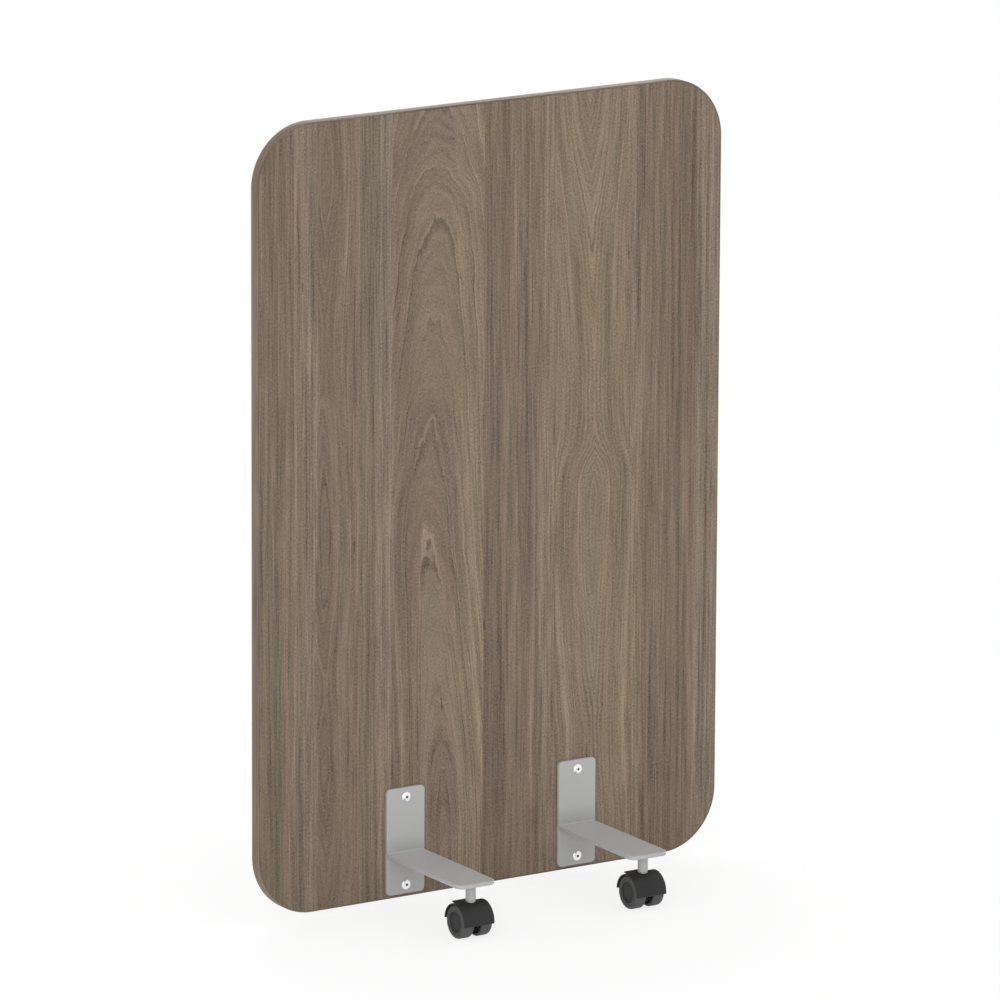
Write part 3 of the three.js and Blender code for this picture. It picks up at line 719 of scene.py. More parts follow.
def softened(profile, radius, steps=4):
    """The same profile with each inner corner replaced by a small curve."""
    points = [Vector(p) for p in profile]
    soft = [points[0]]
    for before, corner, after in zip(points, points[1:], points[2:]):
        reach = min(radius, 0.45 * (before - corner).length, 0.45 * (after - corner).length)
        start = corner + (before - corner).normalized() * reach
        end = corner + (after - corner).normalized() * reach
        for step in range(steps + 1):
            share = step / steps
            curve = start.lerp(corner, share).lerp(corner.lerp(end, share), share)
            soft.append(curve)
    return soft + [points[-1]]


def spin_ring(mesh, radius, height, steps):
    """A ring about Z, or one point where the profile meets the axis."""
    if radius < 1e-7:
        return [mesh.verts.new((0, 0, height))]
    return add_ring(mesh, [(*p, height) for p in circle_points((0, 0), radius, steps)])


def turned(profile, closed=False, steps=TURN_STEPS):
    """A profile of radius and height spun about Z. A closed profile makes a tube or ring."""
    mesh = bmesh.new()
    rings = [spin_ring(mesh, radius, height, steps) for radius, height in profile]
    skin(mesh, rings)
    if closed:
        bridge(mesh, rings[-1], rings[0])
    return mesh


ALONG_X = Matrix.Rotation(math.pi / 2, 4, "Y")

# %% [markdown]
# ## Pieces
# A finished piece sits at the origin with its place in its mesh. It takes over from the plain
# nodes that it stands for, wears one finish, and rides on their body. The small parts are made
# once near the origin and then copied to each of the four corners, because the rear brackets
# are the front ones turned round.

# %% Placing pieces
BODY_OF = {name: node["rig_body"] for name, node in frame["nodes"].items()}


def piece(name, mesh, slot, *nodes):
    """Puts a mesh in the scene in place of the nodes that it stands for."""
    mesh.name = name
    mesh.materials.clear()
    mesh.materials.append(FINISHES[slot])
    made = loose(name, mesh)
    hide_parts(*nodes)
    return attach(made, BODY_OF[nodes[0]])


def copied(mesh, matrix):
    """A copy of a mesh, moved or turned in its own vertices."""
    twin = mesh.copy()
    twin.transform(matrix)
    return twin


def evaluated(made):
    """The object's final mesh with its modifiers applied. The object itself goes."""
    bpy.context.view_layer.update()
    graph = bpy.context.evaluated_depsgraph_get()
    mesh = bpy.data.meshes.new_from_object(made.evaluated_get(graph))
    bpy.data.objects.remove(made)
    return mesh


def corner_turn(place):
    """Rear corners are front corners turned half way round."""
    return Matrix.Rotation(math.pi if place.startswith("rear") else 0, 4, "Z")


def middle_of(node):
    low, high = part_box(node)
    return (low + high) / 2


def size_of(node):
    low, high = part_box(node)
    return high - low


def top_of(kind):
    """Height of the top of a kind of piece."""
    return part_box(f"{kind}_front_left")[1].z


# Angles in degrees over which an edge is sharp: of turned shapes, and of cut and joined ones.
CREASE = 35
CUT_CREASE = 30


def turned_piece(name, node, slot, profile, softness, closed=False):
    """A piece turned about the upright axis through the middle of its node."""
    points = softened(profile, softness)
    shape = turned(points[:-1] if closed else points, closed)
    middle = middle_of(node)
    mesh = copied(to_mesh(shape, node, CREASE), Matrix.Translation((middle.x, middle.y, 0)))
    return piece(name, mesh, slot, node)


# %% [markdown]
# ## Board
# The board is a sheet of particle board with the wood print on both faces. Its outline is a
# rectangle with large corner radii, and its narrow edges are square, because a band covers
# them. Four holes take the sleeve nuts.

# %% Board
CORNER_STEPS = 40
BOARD_CORNER = 0.092
ARRIS = 0.0003


def board_outline(low, high, corner):
    def inset_by(inset):
        radii = [corner - inset] * 4
        sides = (low.x + inset, high.x - inset, low.z + inset, high.z - inset)
        return rounded_outline(*sides, radii, CORNER_STEPS)
    return inset_by


SCREW_NODES = [f"screw_{end}_{level}" for end in ("left", "right") for level in ("lower", "upper")]
NUT_NODES = [name.replace("screw", "sleeve_nut") for name in SCREW_NODES]
BARREL_HOLE = 0.00485
SHANK_HOLE = 0.00335


def sheet(name, node, slot, corner, edge, hole, fasteners):
    """An upright sheet with rounded corners and a hole for each of its fasteners."""
    low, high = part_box(node)
    holes = [(*middle_of(fastener).xz, hole) for fastener in fasteners]
    shape = slab(board_outline(low, high, corner), high.y - low.y, edge, holes)
    matrix = Matrix.Translation((0, middle_of(node).y, 0)) @ UPRIGHT
    return piece(name, copied(to_mesh(shape, node), matrix), slot, node)


band = (size_of("edge_band") - size_of("board")).x / 2
panel = sheet("panel", "board", "laminate", BOARD_CORNER - band, ARRIS, BARREL_HOLE, NUT_NODES)
print("board faces", len(panel.data.polygons))

# %% [markdown]
# ## Edge band
# The band is one long strip, glued round the board with a butt joint under its foot edge. It
# follows a path, so Geometry Nodes sweep it: the path goes in, a small rounded section is swept
# along it, and the length along the path is kept for the grain.


# %% A helper for geometry trees
def geometry_tree(name, inputs):
    """A tree with one geometry in and out, and a named number for each size."""
    tree = bpy.data.node_groups.new(name, "GeometryNodeTree")
    tree.is_modifier = True
    for way in ("INPUT", "OUTPUT"):
        tree.interface.new_socket("Geometry", in_out=way, socket_type="NodeSocketGeometry")
    for label in inputs:
        tree.interface.new_socket(label, in_out="INPUT", socket_type="NodeSocketFloat")
    graph = Graph(tree)
    return graph, graph.node("NodeGroupInput")


def output(graph, geometry, slot):
    """Ends a tree: real geometry in the slot's finish."""
    real = graph.node("GeometryNodeRealizeInstances", geometry)
    finish = FINISHES[slot]
    dressed = graph.node("GeometryNodeSetMaterial", real, Material=finish)
    graph.node("NodeGroupOutput", dressed)
    return graph.tree


def added_to(graph, given, geometry):
    """The given geometry with more beside it."""
    joined = graph.node("GeometryNodeJoinGeometry", geometry)
    graph.feed(joined.socket.node.inputs[0], given)
    return joined


def grown(name, mesh, tree, sizes):
    """The mesh that a tree makes from a mesh and its sizes."""
    made = loose(name, mesh)
    modifier = made.modifiers.new(name, "NODES")
    modifier.node_group = tree
    for item in tree.interface.items_tree:
        if item.in_out == "INPUT" and item.name in sizes:
            modifier[item.identifier] = sizes[item.name]
    return evaluated(made)


# %% Edge band
def band_tree():
    graph, given = geometry_tree("edge_band_tree", ("Thickness", "Depth", "Softness"))
    path = graph.node("GeometryNodeMeshToCurve", given)
    run = graph.node("GeometryNodeSplineParameter").out("Length")
    marked = graph.node(
        "GeometryNodeStoreNamedAttribute", data_type="FLOAT", domain="POINT",
        Geometry=path, Name="run", Value=run,
    )
    level = graph.node("GeometryNodeSetCurveNormal", marked)
    sides = (given.out("Thickness"), given.out("Depth"))
    section = graph.node("GeometryNodeCurvePrimitiveQuadrilateral", *sides)
    soft = graph.node(
        "GeometryNodeFilletCurve", mode="POLY",
        Curve=section, Count=5, Radius=given.out("Softness"),
    )
    swept = graph.node("GeometryNodeCurveToMesh", Curve=level, Profile_Curve=soft)
    swept.socket.node.inputs["Fill Caps"].default_value = True
    smooth = graph.node("GeometryNodeSetShadeSmooth", swept)
    return output(graph, smooth, "edging")


GLUE = 0.0001
BUTT_GAP = 0.0004
BAND_ARRIS = 0.0006


def band_path(thickness):
    """The middle line of the band, from one side of its butt joint round to the other."""
    low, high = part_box("edge_band")
    gap = Vector((BUTT_GAP / 2, 0))
    foot = Vector((0, low.z + thickness / 2))
    points = board_outline(low, high, BOARD_CORNER)(thickness / 2)
    points = points[CORNER_STEPS + 1:] + points[:CORNER_STEPS + 1]
    points = [foot + gap, *points, foot - gap]
    mesh = bpy.data.meshes.new("edge_path")
    edges = [(i, i + 1) for i in range(len(points) - 1)]
    mesh.from_pydata([(*p, 0) for p in points], edges, [])
    return mesh


def make_band():
    thickness = band - GLUE
    depth = size_of("edge_band").y
    sizes = {"Thickness": thickness, "Depth": depth, "Softness": BAND_ARRIS}
    mesh = copied(grown("edge_sweep", band_path(thickness), band_tree(), sizes), UPRIGHT)
    return piece("edge_strip", mesh, "edging", "edge_band")


strip = make_band()
print("edge strip", len(strip.data.polygons), [round(v, 4) for v in strip.dimensions])

# %% [markdown]
# ## Plates and foot arms
# Each bracket is two pieces of flat steel. The plate stands against the board, and the arm
# sticks out level from it, with its two free corners rounded. Flat bar has softly broken edges,
# which catch the light, so both slabs are rounded by about a millimetre.

# %% Mounting plates
PLATE_CORNER = 0.007
STEEL_EDGE = 0.0011


def make_plate(place):
    front = place.startswith("front")
    end = place.split("_")[1]
    fasteners = [name for name in (SCREW_NODES if front else NUT_NODES) if end in name]
    sizes = (PLATE_CORNER, STEEL_EDGE, SHANK_HOLE if front else BARREL_HOLE)
    return sheet(f"mounting_plate_{place}", f"plate_{place}", "coated_steel", *sizes, fasteners)


# %% [markdown]
# The arm is welded to the plate along its top and underside. A weld is a small hollow bead
# whose ripples still show through the coating, so its section swells and shrinks a little as
# it runs across the arm.

# %% Foot arms with their welds
ARM_TIP = 0.012
ARM_ROOT = 0.0002
ARM_EDGE = 0.0009
WELD_END = 0.0015
WELD_RIPPLE = 0.06
RIPPLE_PITCH = 0.0028
WELD_STEPS = 96


def arm_outline(half, root, tip):
    def inset_by(inset):
        radii = [ARM_TIP - inset, ARM_TIP - inset, ARM_ROOT, ARM_ROOT]
        return rounded_outline(inset - half, half - inset, tip + inset, root, radii, 16)
    return inset_by


def weld_section(leg):
    """Hollow triangle between two faces that meet at the origin."""
    return [(0, 0), *arc_points((leg, leg), leg, math.pi, 1.5 * math.pi, 6)[::-1]]


def add_weld(mesh, half, y, z, rise):
    """One bead along X in the corner at y and z. `rise` is 1 above the arm and -1 below it."""
    rings = []
    for step in range(WELD_STEPS + 1):
        x = (2 * step / WELD_STEPS - 1) * (half - WELD_END)
        ripple = 1 - WELD_RIPPLE * (0.5 + 0.5 * math.cos(2 * math.pi * x / RIPPLE_PITCH))
        section = weld_section(WELD_LEG * ripple)
        rings.append(add_ring(mesh, [(x, y - out, z + rise * up) for out, up in section]))
    skin(mesh, rings, ends=True)


def make_arm(place):
    node = f"arm_{place}"
    turn = corner_turn(place)
    low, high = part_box(node)
    half = (high.x - low.x) / 2
    root, tip = -min(abs(low.y), abs(high.y)), -max(abs(low.y), abs(high.y))
    foot, top = low.z + WELD_LEG, high.z - WELD_LEG
    shape = slab(arm_outline(half, root, tip), top - foot, ARM_EDGE)
    bmesh.ops.translate(shape, verts=shape.verts, vec=(0, 0, (top + foot) / 2))
    add_weld(shape, half, root, top, 1)
    add_weld(shape, half, root, foot, -1)
    matrix = Matrix.Translation((middle_of(node).x, 0, 0)) @ turn
    mesh = copied(to_mesh(shape, node), matrix)
    return piece(f"foot_arm_{place}", mesh, "coated_steel", node)


for place in PLACES:
    make_plate(place)
    arm = make_arm(place)
print("arm faces", len(arm.data.polygons))

# %% [markdown]
# ## Sleeves and stems
# Under each arm tip a short tube is welded on, and the caster's stem pushes up into it. Only
# the stem's collar shows below. Both are turned shapes with broken edges.

# %% Sleeves
SLEEVE_BORE = 0.0046
SLEEVE_EDGE = 0.0007


def make_sleeve(place):
    node = f"stem_sleeve_{place}"
    low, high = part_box(node)
    radius = size_of(node).x / 2
    tube = [
        (SLEEVE_BORE, high.z), (SLEEVE_BORE, low.z), (radius, low.z), (radius, high.z),
        (SLEEVE_BORE, high.z),
    ]
    turned_piece(f"sleeve_{place}", node, "coated_steel", tube, SLEEVE_EDGE, closed=True)


# %% Stems
STEM_RADIUS = 0.004
STEM_EDGE = 0.0004
COLLAR_GAP = 0.0003
COLLAR_HEIGHT = 0.0012
SNAP_RADIUS = 0.0034
SNAP_ABOVE_FOOT = 0.004
SNAP_HEIGHT = 0.0022
GRIP_RADIUS = 0.0033
GRIP_BELOW_TOP = 0.008
GRIP_HEIGHT = 0.0044


def groove(foot, height, depth_radius):
    """Half outline of a groove round the stem."""
    top = foot + height
    return [
        (STEM_RADIUS, foot), (depth_radius, foot), (depth_radius, top), (STEM_RADIUS, top),
    ]


def stem_profile(low, high, collar):
    """Half outline of a stem: snap groove near its foot, collar, grip groove near its top."""
    collar_foot = top_of("caster_hood") + COLLAR_GAP
    collar_top = collar_foot + COLLAR_HEIGHT
    grip_foot = high - GRIP_BELOW_TOP - GRIP_HEIGHT
    return [
        (0, low), (STEM_RADIUS, low),
        *groove(low + SNAP_ABOVE_FOOT, SNAP_HEIGHT, SNAP_RADIUS),
        (STEM_RADIUS, collar_foot), (collar, collar_foot),
        (collar, collar_top), (STEM_RADIUS, collar_top),
        *groove(grip_foot, GRIP_HEIGHT, GRIP_RADIUS),
        (STEM_RADIUS, high), (0, high),
    ]


def make_stem(place):
    node = f"caster_stem_{place}"
    low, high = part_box(node)
    profile = stem_profile(low.z, high.z, (high.x - low.x) / 2)
    turned_piece(f"stem_{place}", node, "zinc_steel", profile, STEM_EDGE)


for place in PLACES:
    make_sleeve(place)
    make_stem(place)
    ring = frame["nodes"][f"grip_ring_{place}"].data
    ring.materials.clear()
    ring.materials.append(FINISHES["zinc_steel"])

# %% [markdown]
# ## Screws and sleeve nuts
# Four cap screws go in from the front, and each meets a sleeve nut from the rear. Both have the
# same low dome with a hexagon socket. The four stand on a two by two grid, so one turned screw
# goes in and Geometry Nodes set it on the corners of a grid.

# %% Turned heads
HEAD_RIM = 0.0009
SOCKET = 0.0023
SOCKET_DEPTH = 0.002
SOCKET_CHAMFER = 0.0004
SOCKET_POINT = 0.0005
HEXAGON = 6
DOME_STEPS = 10


def dome(radius, height):
    """From the rim of the head up to the edge of its socket."""
    points = [(radius, 0.0), (radius, HEAD_RIM)]
    full = math.acos((SOCKET + SOCKET_CHAMFER) / radius)
    for step in range(1, DOME_STEPS + 1):
        angle = full * step / DOME_STEPS
        rise = (height - HEAD_RIM) * math.sin(angle)
        points.append((radius * math.cos(angle), HEAD_RIM + rise))
    return points


def add_socket(shape, rim_height):
    """Closes the open top of a head with a six-sided hole, its floor marked for painted shade."""
    recess = shape.verts.layers.float.new("recess")
    rim = [v for v in shape.verts if v.is_boundary]
    rim.sort(key=lambda v: math.atan2(v.co.y, v.co.x) % (2 * math.pi))
    sector = 2 * math.pi / HEXAGON
    hexagon = []
    for vert in rim:
        angle = math.atan2(vert.co.y, vert.co.x)
        reach = SOCKET * math.cos(sector / 2) / math.cos(angle % sector - sector / 2)
        hexagon.append((reach * math.cos(angle), reach * math.sin(angle)))
    lip = add_ring(shape, [(x, y, rim_height - SOCKET_CHAMFER / 2) for x, y in hexagon])
    floor = add_ring(shape, [(x, y, rim_height - SOCKET_DEPTH) for x, y in hexagon])
    point = [shape.verts.new((0, 0, rim_height - SOCKET_DEPTH - SOCKET_POINT))]
    # The socket's floor and point carry the painted shade.
    for vert in floor + point:
        vert[recess] = 1.0
    skin(shape, (rim, lip, floor, point))


def head_mesh(name, shank, radius, height):
    """A shank, given as its half outline from the axis up to the head, with a domed head."""
    top = dome(radius, height)
    shape = turned([*shank, *top])
    add_socket(shape, top[-1][1])
    return to_mesh(shape, name, CREASE)


# %% Screws on their grid
def grid_tree():
    graph, given = geometry_tree("fastener_grid_tree", ("Across", "Up"))
    grid = graph.node(
        "GeometryNodeMeshGrid",
        Size_X=given.out("Across"), Size_Y=given.out("Up"), Vertices_X=2, Vertices_Y=2,
    )
    placed = graph.node("GeometryNodeInstanceOnPoints", Points=grid, Instance=given)
    return output(graph, placed, "bright_steel")


SHANK = 0.003
SHANK_TIP = (0.0026, 0.0006)
BARREL = 0.0045
BARREL_DEPTH = 0.01
BARREL_EDGE = 0.0003


def screw_shank(low, head):
    tip, rise = SHANK_TIP
    return [(0, low), (tip, low), (SHANK, low + rise), (SHANK, head)]


def nut_barrel(low, head):
    bottom, edge = low + BARREL_DEPTH, low + BARREL_EDGE
    return [
        (0, bottom), (SHANK_HOLE, bottom), (SHANK_HOLE, edge), (SHANK_HOLE + BARREL_EDGE, low),
        (BARREL - BARREL_EDGE, low), (BARREL, edge), (BARREL, head),
    ]


def make_fasteners(name, nodes, shank_of, front):
    """All four fasteners of one kind. `front` is True for those whose heads face -Y."""
    corners = [middle_of(node) for node in nodes]
    across = max(c.x for c in corners) - min(c.x for c in corners)
    up = max(c.z for c in corners) - min(c.z for c in corners)
    middle = sum(corners, Vector()) / len(corners)
    radius = size_of(nodes[0]).x / 2
    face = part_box("plate_front_left" if front else "plate_rear_left")[0 if front else 1].y
    low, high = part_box(nodes[0])
    height = abs((low if front else high).y - face)
    length = (high.y - low.y) - height
    mesh = head_mesh(name, shank_of(-length, 0), radius, height)
    mesh = grown(name, mesh, grid_tree(), {"Across": across, "Up": up})
    turn = UPRIGHT if front else Matrix.Rotation(math.pi, 4, "Z") @ UPRIGHT
    mesh.transform(Matrix.Translation((middle.x, face, middle.z)) @ turn)
    return piece(name, mesh, "bright_steel", *nodes)


screws = make_fasteners("cap_screws", SCREW_NODES, screw_shank, True)
make_fasteners("sleeve_nuts", NUT_NODES, nut_barrel, False)
print("screws", len(screws.data.polygons), [round(v, 4) for v in screws.dimensions])

# %% [markdown]
# ## Wheels
# A caster wheel is moulded in one piece: a tread with rounded shoulders, a web near the outer
# face, a hub on the axle, and thin ribs that stiffen the hollow inner side. The body is turned,
# and the ribs repeat round the axle, so Geometry Nodes add them.

# %% Turned wheel body
AXLE_BORE = 0.0033
HUB_RADIUS = 0.0065
RIM_WALL = 0.0043
SHOULDER = 0.003
INNER_SHOULDER = 0.0016
CAP_RECESS = 0.0154
RECESS_DEPTH = 0.0033
WEB = 0.003
WHEEL_EDGE = 0.0006
WHEEL_SOFTNESS = 0.0009
WHEEL_CREASE = 38


def wheel_body(radius, width):
    """The wheel about Z, with its inner face at 0 and its outer face at its width."""
    hub_end = width - RECESS_DEPTH
    web = hub_end - WEB
    rim = radius - RIM_WALL
    outline = [
        (AXLE_BORE, hub_end), (AXLE_BORE, 0), (HUB_RADIUS, 0), (HUB_RADIUS, web),
        (rim, web), (rim, 0), (radius - INNER_SHOULDER, 0), (radius, INNER_SHOULDER),
        (radius, width - SHOULDER), (radius - SHOULDER * 0.3, width - SHOULDER * 0.3),
        (radius - SHOULDER, width), (CAP_RECESS + WHEEL_EDGE, width),
        (CAP_RECESS, width - WHEEL_EDGE), (CAP_RECESS, hub_end), (AXLE_BORE, hub_end),
    ]
    body = turned(softened(outline, WHEEL_SOFTNESS)[:-1], closed=True)
    return to_mesh(body, "wheel_body", WHEEL_CREASE)


# %% Ribs round the axle
RIBS = 10
RIB_THICKNESS = 0.0012
RIB_FOOT = 0.0022
RIB_SUNK = 0.0004


def rib_tree():
    graph, given = geometry_tree("wheel_rib_tree", ("Inner", "Outer", "Foot", "Top", "Thickness"))
    inner, outer = given.out("Inner"), given.out("Outer")
    foot, top = given.out("Foot"), given.out("Top")
    size = graph.vector(outer - inner, given.out("Thickness"), top - foot)
    rib = graph.node("GeometryNodeMeshCube", Size=size)
    moved = graph.node(
        "GeometryNodeTransform", Geometry=rib,
        Translation=graph.vector((inner + outer) / 2, 0.0, (foot + top) / 2),
    )
    ring = graph.node("GeometryNodeMeshLine", Count=RIBS, Offset=(0.0, 0.0, 0.0))
    index = graph.node("GeometryNodeInputIndex")
    turn = graph.vector(0.0, 0.0, index * (2 * math.pi / RIBS))
    ribs = graph.node("GeometryNodeInstanceOnPoints", ring, Instance=moved, Rotation=turn)
    return output(graph, added_to(graph, given, ribs), "wheel_plastic")


def wheel_mesh(radius, width):
    sizes = {
        "Inner": HUB_RADIUS - RIB_SUNK,
        "Outer": radius - RIM_WALL + RIB_SUNK,
        "Foot": RIB_FOOT,
        "Top": width - RECESS_DEPTH - WEB + RIB_SUNK,
        "Thickness": RIB_THICKNESS,
    }
    return grown("wheel_body", wheel_body(radius, width), rib_tree(), sizes)


# %% [markdown]
# The hub cap is a shallow disc with a ring pressed into it. It closes the wheel's outer face
# over the end of the axle.

# %% Hub caps
CAP_FIT = 0.0003
CAP_RING = 0.0118
CAP_GROOVE = 0.0007
CAP_EDGE = (0.0006, 0.0005)
CAP_HOLLOW = 0.006
CAP_WALL = 0.0012
CAP_CROWN = 0.0002
CAP_SOFTNESS = 0.0004
CAP_CREASE = 40


def cap_mesh(depth):
    """The cap about Z, from its foot at 0 up to its face."""
    radius = CAP_RECESS - CAP_FIT
    face = depth - CAP_CROWN
    edge, fall = CAP_EDGE
    outline = [
        (0, CAP_WALL), (CAP_HOLLOW, CAP_WALL), (CAP_HOLLOW, 0), (radius, 0),
        (radius, face - fall), (radius - edge, face), (CAP_RING + CAP_GROOVE, face),
        (CAP_RING, face - CAP_GROOVE), (CAP_RING - CAP_GROOVE, face), (CAP_HOLLOW, face),
        (0, depth),
    ]
    return to_mesh(turned(softened(outline, CAP_SOFTNESS)), "cap_body", CAP_CREASE)


def on_axle(name, node, mesh, slot, middle):
    """A copy of a turned mesh with its foot on the node's face towards the hood's middle."""
    spot = middle_of(node)
    side = 1 if spot.x > middle else -1
    spot.x -= side * size_of(node).x / 2
    matrix = Matrix.Translation(spot) @ Matrix.Rotation(side * math.pi / 2, 4, "Y")
    piece(name, copied(mesh, matrix), slot, node)


def make_wheels():
    low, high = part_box("wheel_front_left_outer")
    wheel = wheel_mesh((high.z - low.z) / 2, high.x - low.x)
    low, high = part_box("hub_cap_front_left_outer")
    cap = cap_mesh(high.x - low.x)
    for place in PLACES:
        middle = middle_of(f"caster_hood_{place}").x
        for end in (f"{place}_outer", f"{place}_inner"):
            on_axle(f"roller_{end}", f"wheel_{end}", wheel, "wheel_plastic", middle)
            on_axle(f"hub_disc_{end}", f"hub_cap_{end}", cap, "cap_plastic", middle)
    return wheel


print("wheel faces", len(make_wheels().polygons))


# %% Axles
AXLE_RADIUS = 0.003
AXLE_GROOVE = 0.0004
AXLE_LIP = 0.002
AXLE_TIP = 0.0009
AXLE_EDGE = 0.0002
AXLE_STEPS = 40


def make_axle(place):
    node = f"axle_{place}"
    end = size_of(node).x / 2
    groove_out, groove_in = end - AXLE_TIP, end - AXLE_TIP - AXLE_LIP
    neck = AXLE_RADIUS - AXLE_GROOVE
    side = [
        (AXLE_RADIUS, groove_in), (neck, groove_in), (neck, groove_out),
        (AXLE_RADIUS, groove_out), (neck, end), (0, end),
    ]
    profile = [(r, -x) for r, x in reversed(side)] + side
    shape = turned(softened(profile, AXLE_EDGE, 2), steps=AXLE_STEPS)
    mesh = to_mesh(shape, node, CREASE)
    mesh.transform(Matrix.Translation(middle_of(node)) @ ALONG_X)
    return piece(f"axle_pin_{place}", mesh, "zinc_steel", node)


for place in PLACES:
    axle = make_axle(place)
print("axle faces", len(axle.data.polygons))

# %% [markdown]
# ## Caster hoods
# The hood is a half-round shell over both wheels. Its section, a thin strip with rounded edges,
# is swept round the axle. A window for the brake lever is cut at the rear, and a middle web
# that holds stem and axle is joined in with a Boolean, which keeps it one closed body.

# %% Hood shell
HOOD_WALL = 0.0022
HOOD_EDGE = 0.0008
HOOD_LEAN = math.radians(4)
HOOD_STEPS = 96
HOOD_END_STEPS = 4


def hood_section(half, inset):
    """The strip's section: distance along the axle, and height above its inner face."""
    radii = [HOOD_EDGE - inset * 0.8] * 4
    return rounded_outline(inset - half, half - inset, inset, HOOD_WALL - inset, radii, 4)


def hood_shell(half, inner):
    """Half a turn of shell about the axle, lower at the front, which is towards -Y."""
    ease = HOOD_EDGE * 0.9
    bends = [math.sin(math.pi / 2 * s / HOOD_END_STEPS) for s in range(HOOD_END_STEPS)]
    ends = [(ease / inner * (1 - bend), ease * (1 - bend)) for bend in bends]
    turns = [(-past, inset) for past, inset in ends]
    turns += [(math.pi * s / HOOD_STEPS, 0) for s in range(HOOD_STEPS + 1)]
    turns += [(math.pi + past, inset) for past, inset in reversed(ends)]
    mesh = bmesh.new()
    rings = []
    for turn, inset in turns:
        across, up = math.cos(HOOD_LEAN + turn), math.sin(HOOD_LEAN + turn)
        flat = [(x, inner + out) for x, out in hood_section(half, inset)]
        rings.append(add_ring(mesh, [(x, radius * across, radius * up) for x, radius in flat]))
    return to_mesh(skin(mesh, rings, ends=True), "hood_shell")


# %% The web, and joining
def combined(base, other, operation):
    """Cuts or joins two closed meshes."""
    body = loose("hood_base", base)
    tool = loose("hood_tool", other)
    modifier = body.modifiers.new("join", "BOOLEAN")
    modifier.operation = operation
    modifier.solver = "EXACT"
    modifier.object = tool
    mesh = evaluated(body)
    bpy.data.objects.remove(tool)
    return mesh


def prism(outline, half):
    """An outline in Y and Z, given width along X."""
    mesh = bmesh.new()
    rings = [add_ring(mesh, [(x, y, z) for y, z in outline]) for x in (-half, half)]
    return to_mesh(skin(mesh, rings, ends=True), "prism", CUT_CREASE)


def rod(radius, low, high):
    """A plain round rod about Z."""
    profile = [(0, low), (radius, low), (radius, high), (0, high)]
    return to_mesh(turned(profile), "rod", CREASE)


def box_mesh(half, y_low, y_high, z_low, z_high):
    return prism([(y_low, z_low), (y_high, z_low), (y_high, z_high), (y_low, z_high)], half)


AXLE_BOSS = 0.008
STEM_AHEAD = 0.003
STEM_BOSS = 0.0062
STEM_BORE = 0.00435
STEM_IN_HOUSING = 0.0195
SWIVEL_GAP = 0.0004
WEB_HALF = 0.0057
SLOT_HALF = 0.0147
SLOT_NEAR = 0.0044
SLOT_FOOT = 0.014
SEAT_SUNK = 0.001
SEAT_EDGE = 0.0005
AXLE_HOLE = 0.0032


def web_outline(roof):
    """Side view of the web: round the axle below, and up to the crown at the stem."""
    boss = arc_points((0, 0), AXLE_BOSS, math.pi, 2 * math.pi, 24)
    face = STEM_BOSS - STEM_AHEAD
    back = -STEM_AHEAD - STEM_BOSS
    return [*boss, (face, AXLE_BOSS), (face, roof), (back, roof), (back, 0)]


def hood_mesh(half, outer):
    """One hood about the middle of its axle."""
    inner = outer - HOOD_WALL
    ahead = Matrix.Translation((0, -STEM_AHEAD, 0))
    seat_radius = size_of("stem_sleeve_front_left").x / 2
    rim = [(0, inner - SEAT_SUNK), (seat_radius, inner - SEAT_SUNK)]
    rim += [(seat_radius, outer), (0, outer)]
    seat = to_mesh(turned(softened(rim, SEAT_EDGE)), "seat", CREASE)
    bore_foot = outer - STEM_IN_HOUSING - SWIVEL_GAP
    hole = rod(STEM_BORE, bore_foot, outer + HOOD_WALL)
    hood = combined(hood_shell(half, inner), copied(seat, ahead), "UNION")
    hood = combined(hood, prism(web_outline(inner + HOOD_WALL / 2), WEB_HALF), "UNION")
    slot = box_mesh(SLOT_HALF, SLOT_NEAR, 2 * outer, SLOT_FOOT, 2 * outer)
    hood = combined(hood, slot, "DIFFERENCE")
    hood = combined(hood, copied(hole, ahead), "DIFFERENCE")
    hood = combined(hood, copied(rod(AXLE_HOLE, -half, half), ALONG_X), "DIFFERENCE")
    hood.set_sharp_from_angle(angle=math.radians(CUT_CREASE))
    return hood


def caster_middle(place):
    """The middle of a caster's axle."""
    return middle_of(f"axle_{place}")


def at_casters(name, kind, mesh):
    """A copy of a mesh about the axle's middle for each caster."""
    for place in PLACES:
        matrix = Matrix.Translation(caster_middle(place)) @ corner_turn(place)
        piece(f"{name}_{place}", copied(mesh, matrix), "housing_plastic", f"{kind}_{place}")


low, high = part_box("caster_hood_front_left")
hood = hood_mesh((high.x - low.x) / 2, high.z - caster_middle("front_left").z)
at_casters("hood", "caster_hood", hood)
print("hood faces", len(hood.polygons))

# %% [markdown]
# ## Brake levers
# The lever is a curved plate that continues the hood's curve, with a flat pedal tab behind it
# and a shoe that follows the treads. Two cheeks carry it on its pivot. Three fine ridges give
# a foot some grip, and they repeat, so Geometry Nodes lay them along the tab.

# %% Lever plate
LEVER_HALF = 0.014
SHOE_RADIUS = 0.0265
SHOE_WALL = 0.0023
SHOE_END = math.radians(38)
LEVER_START = 0.0051
LEVER_BEND = math.radians(66)
TAB_THICKNESS = 0.0024
TAB_ROOT = 0.021
TAB_BELOW_CROWN = 0.0028
PIVOT = Vector((0.0076, 0.0185))
CHEEK = 0.0029
CHEEK_INNER = 0.0024
CHEEK_OUTER = 0.0046
CHEEK_SUNK = 0.0008
LEVER_EDGE = 0.0004
LEVER_CREASE = math.radians(32)
BEVEL_OVER = math.radians(40)


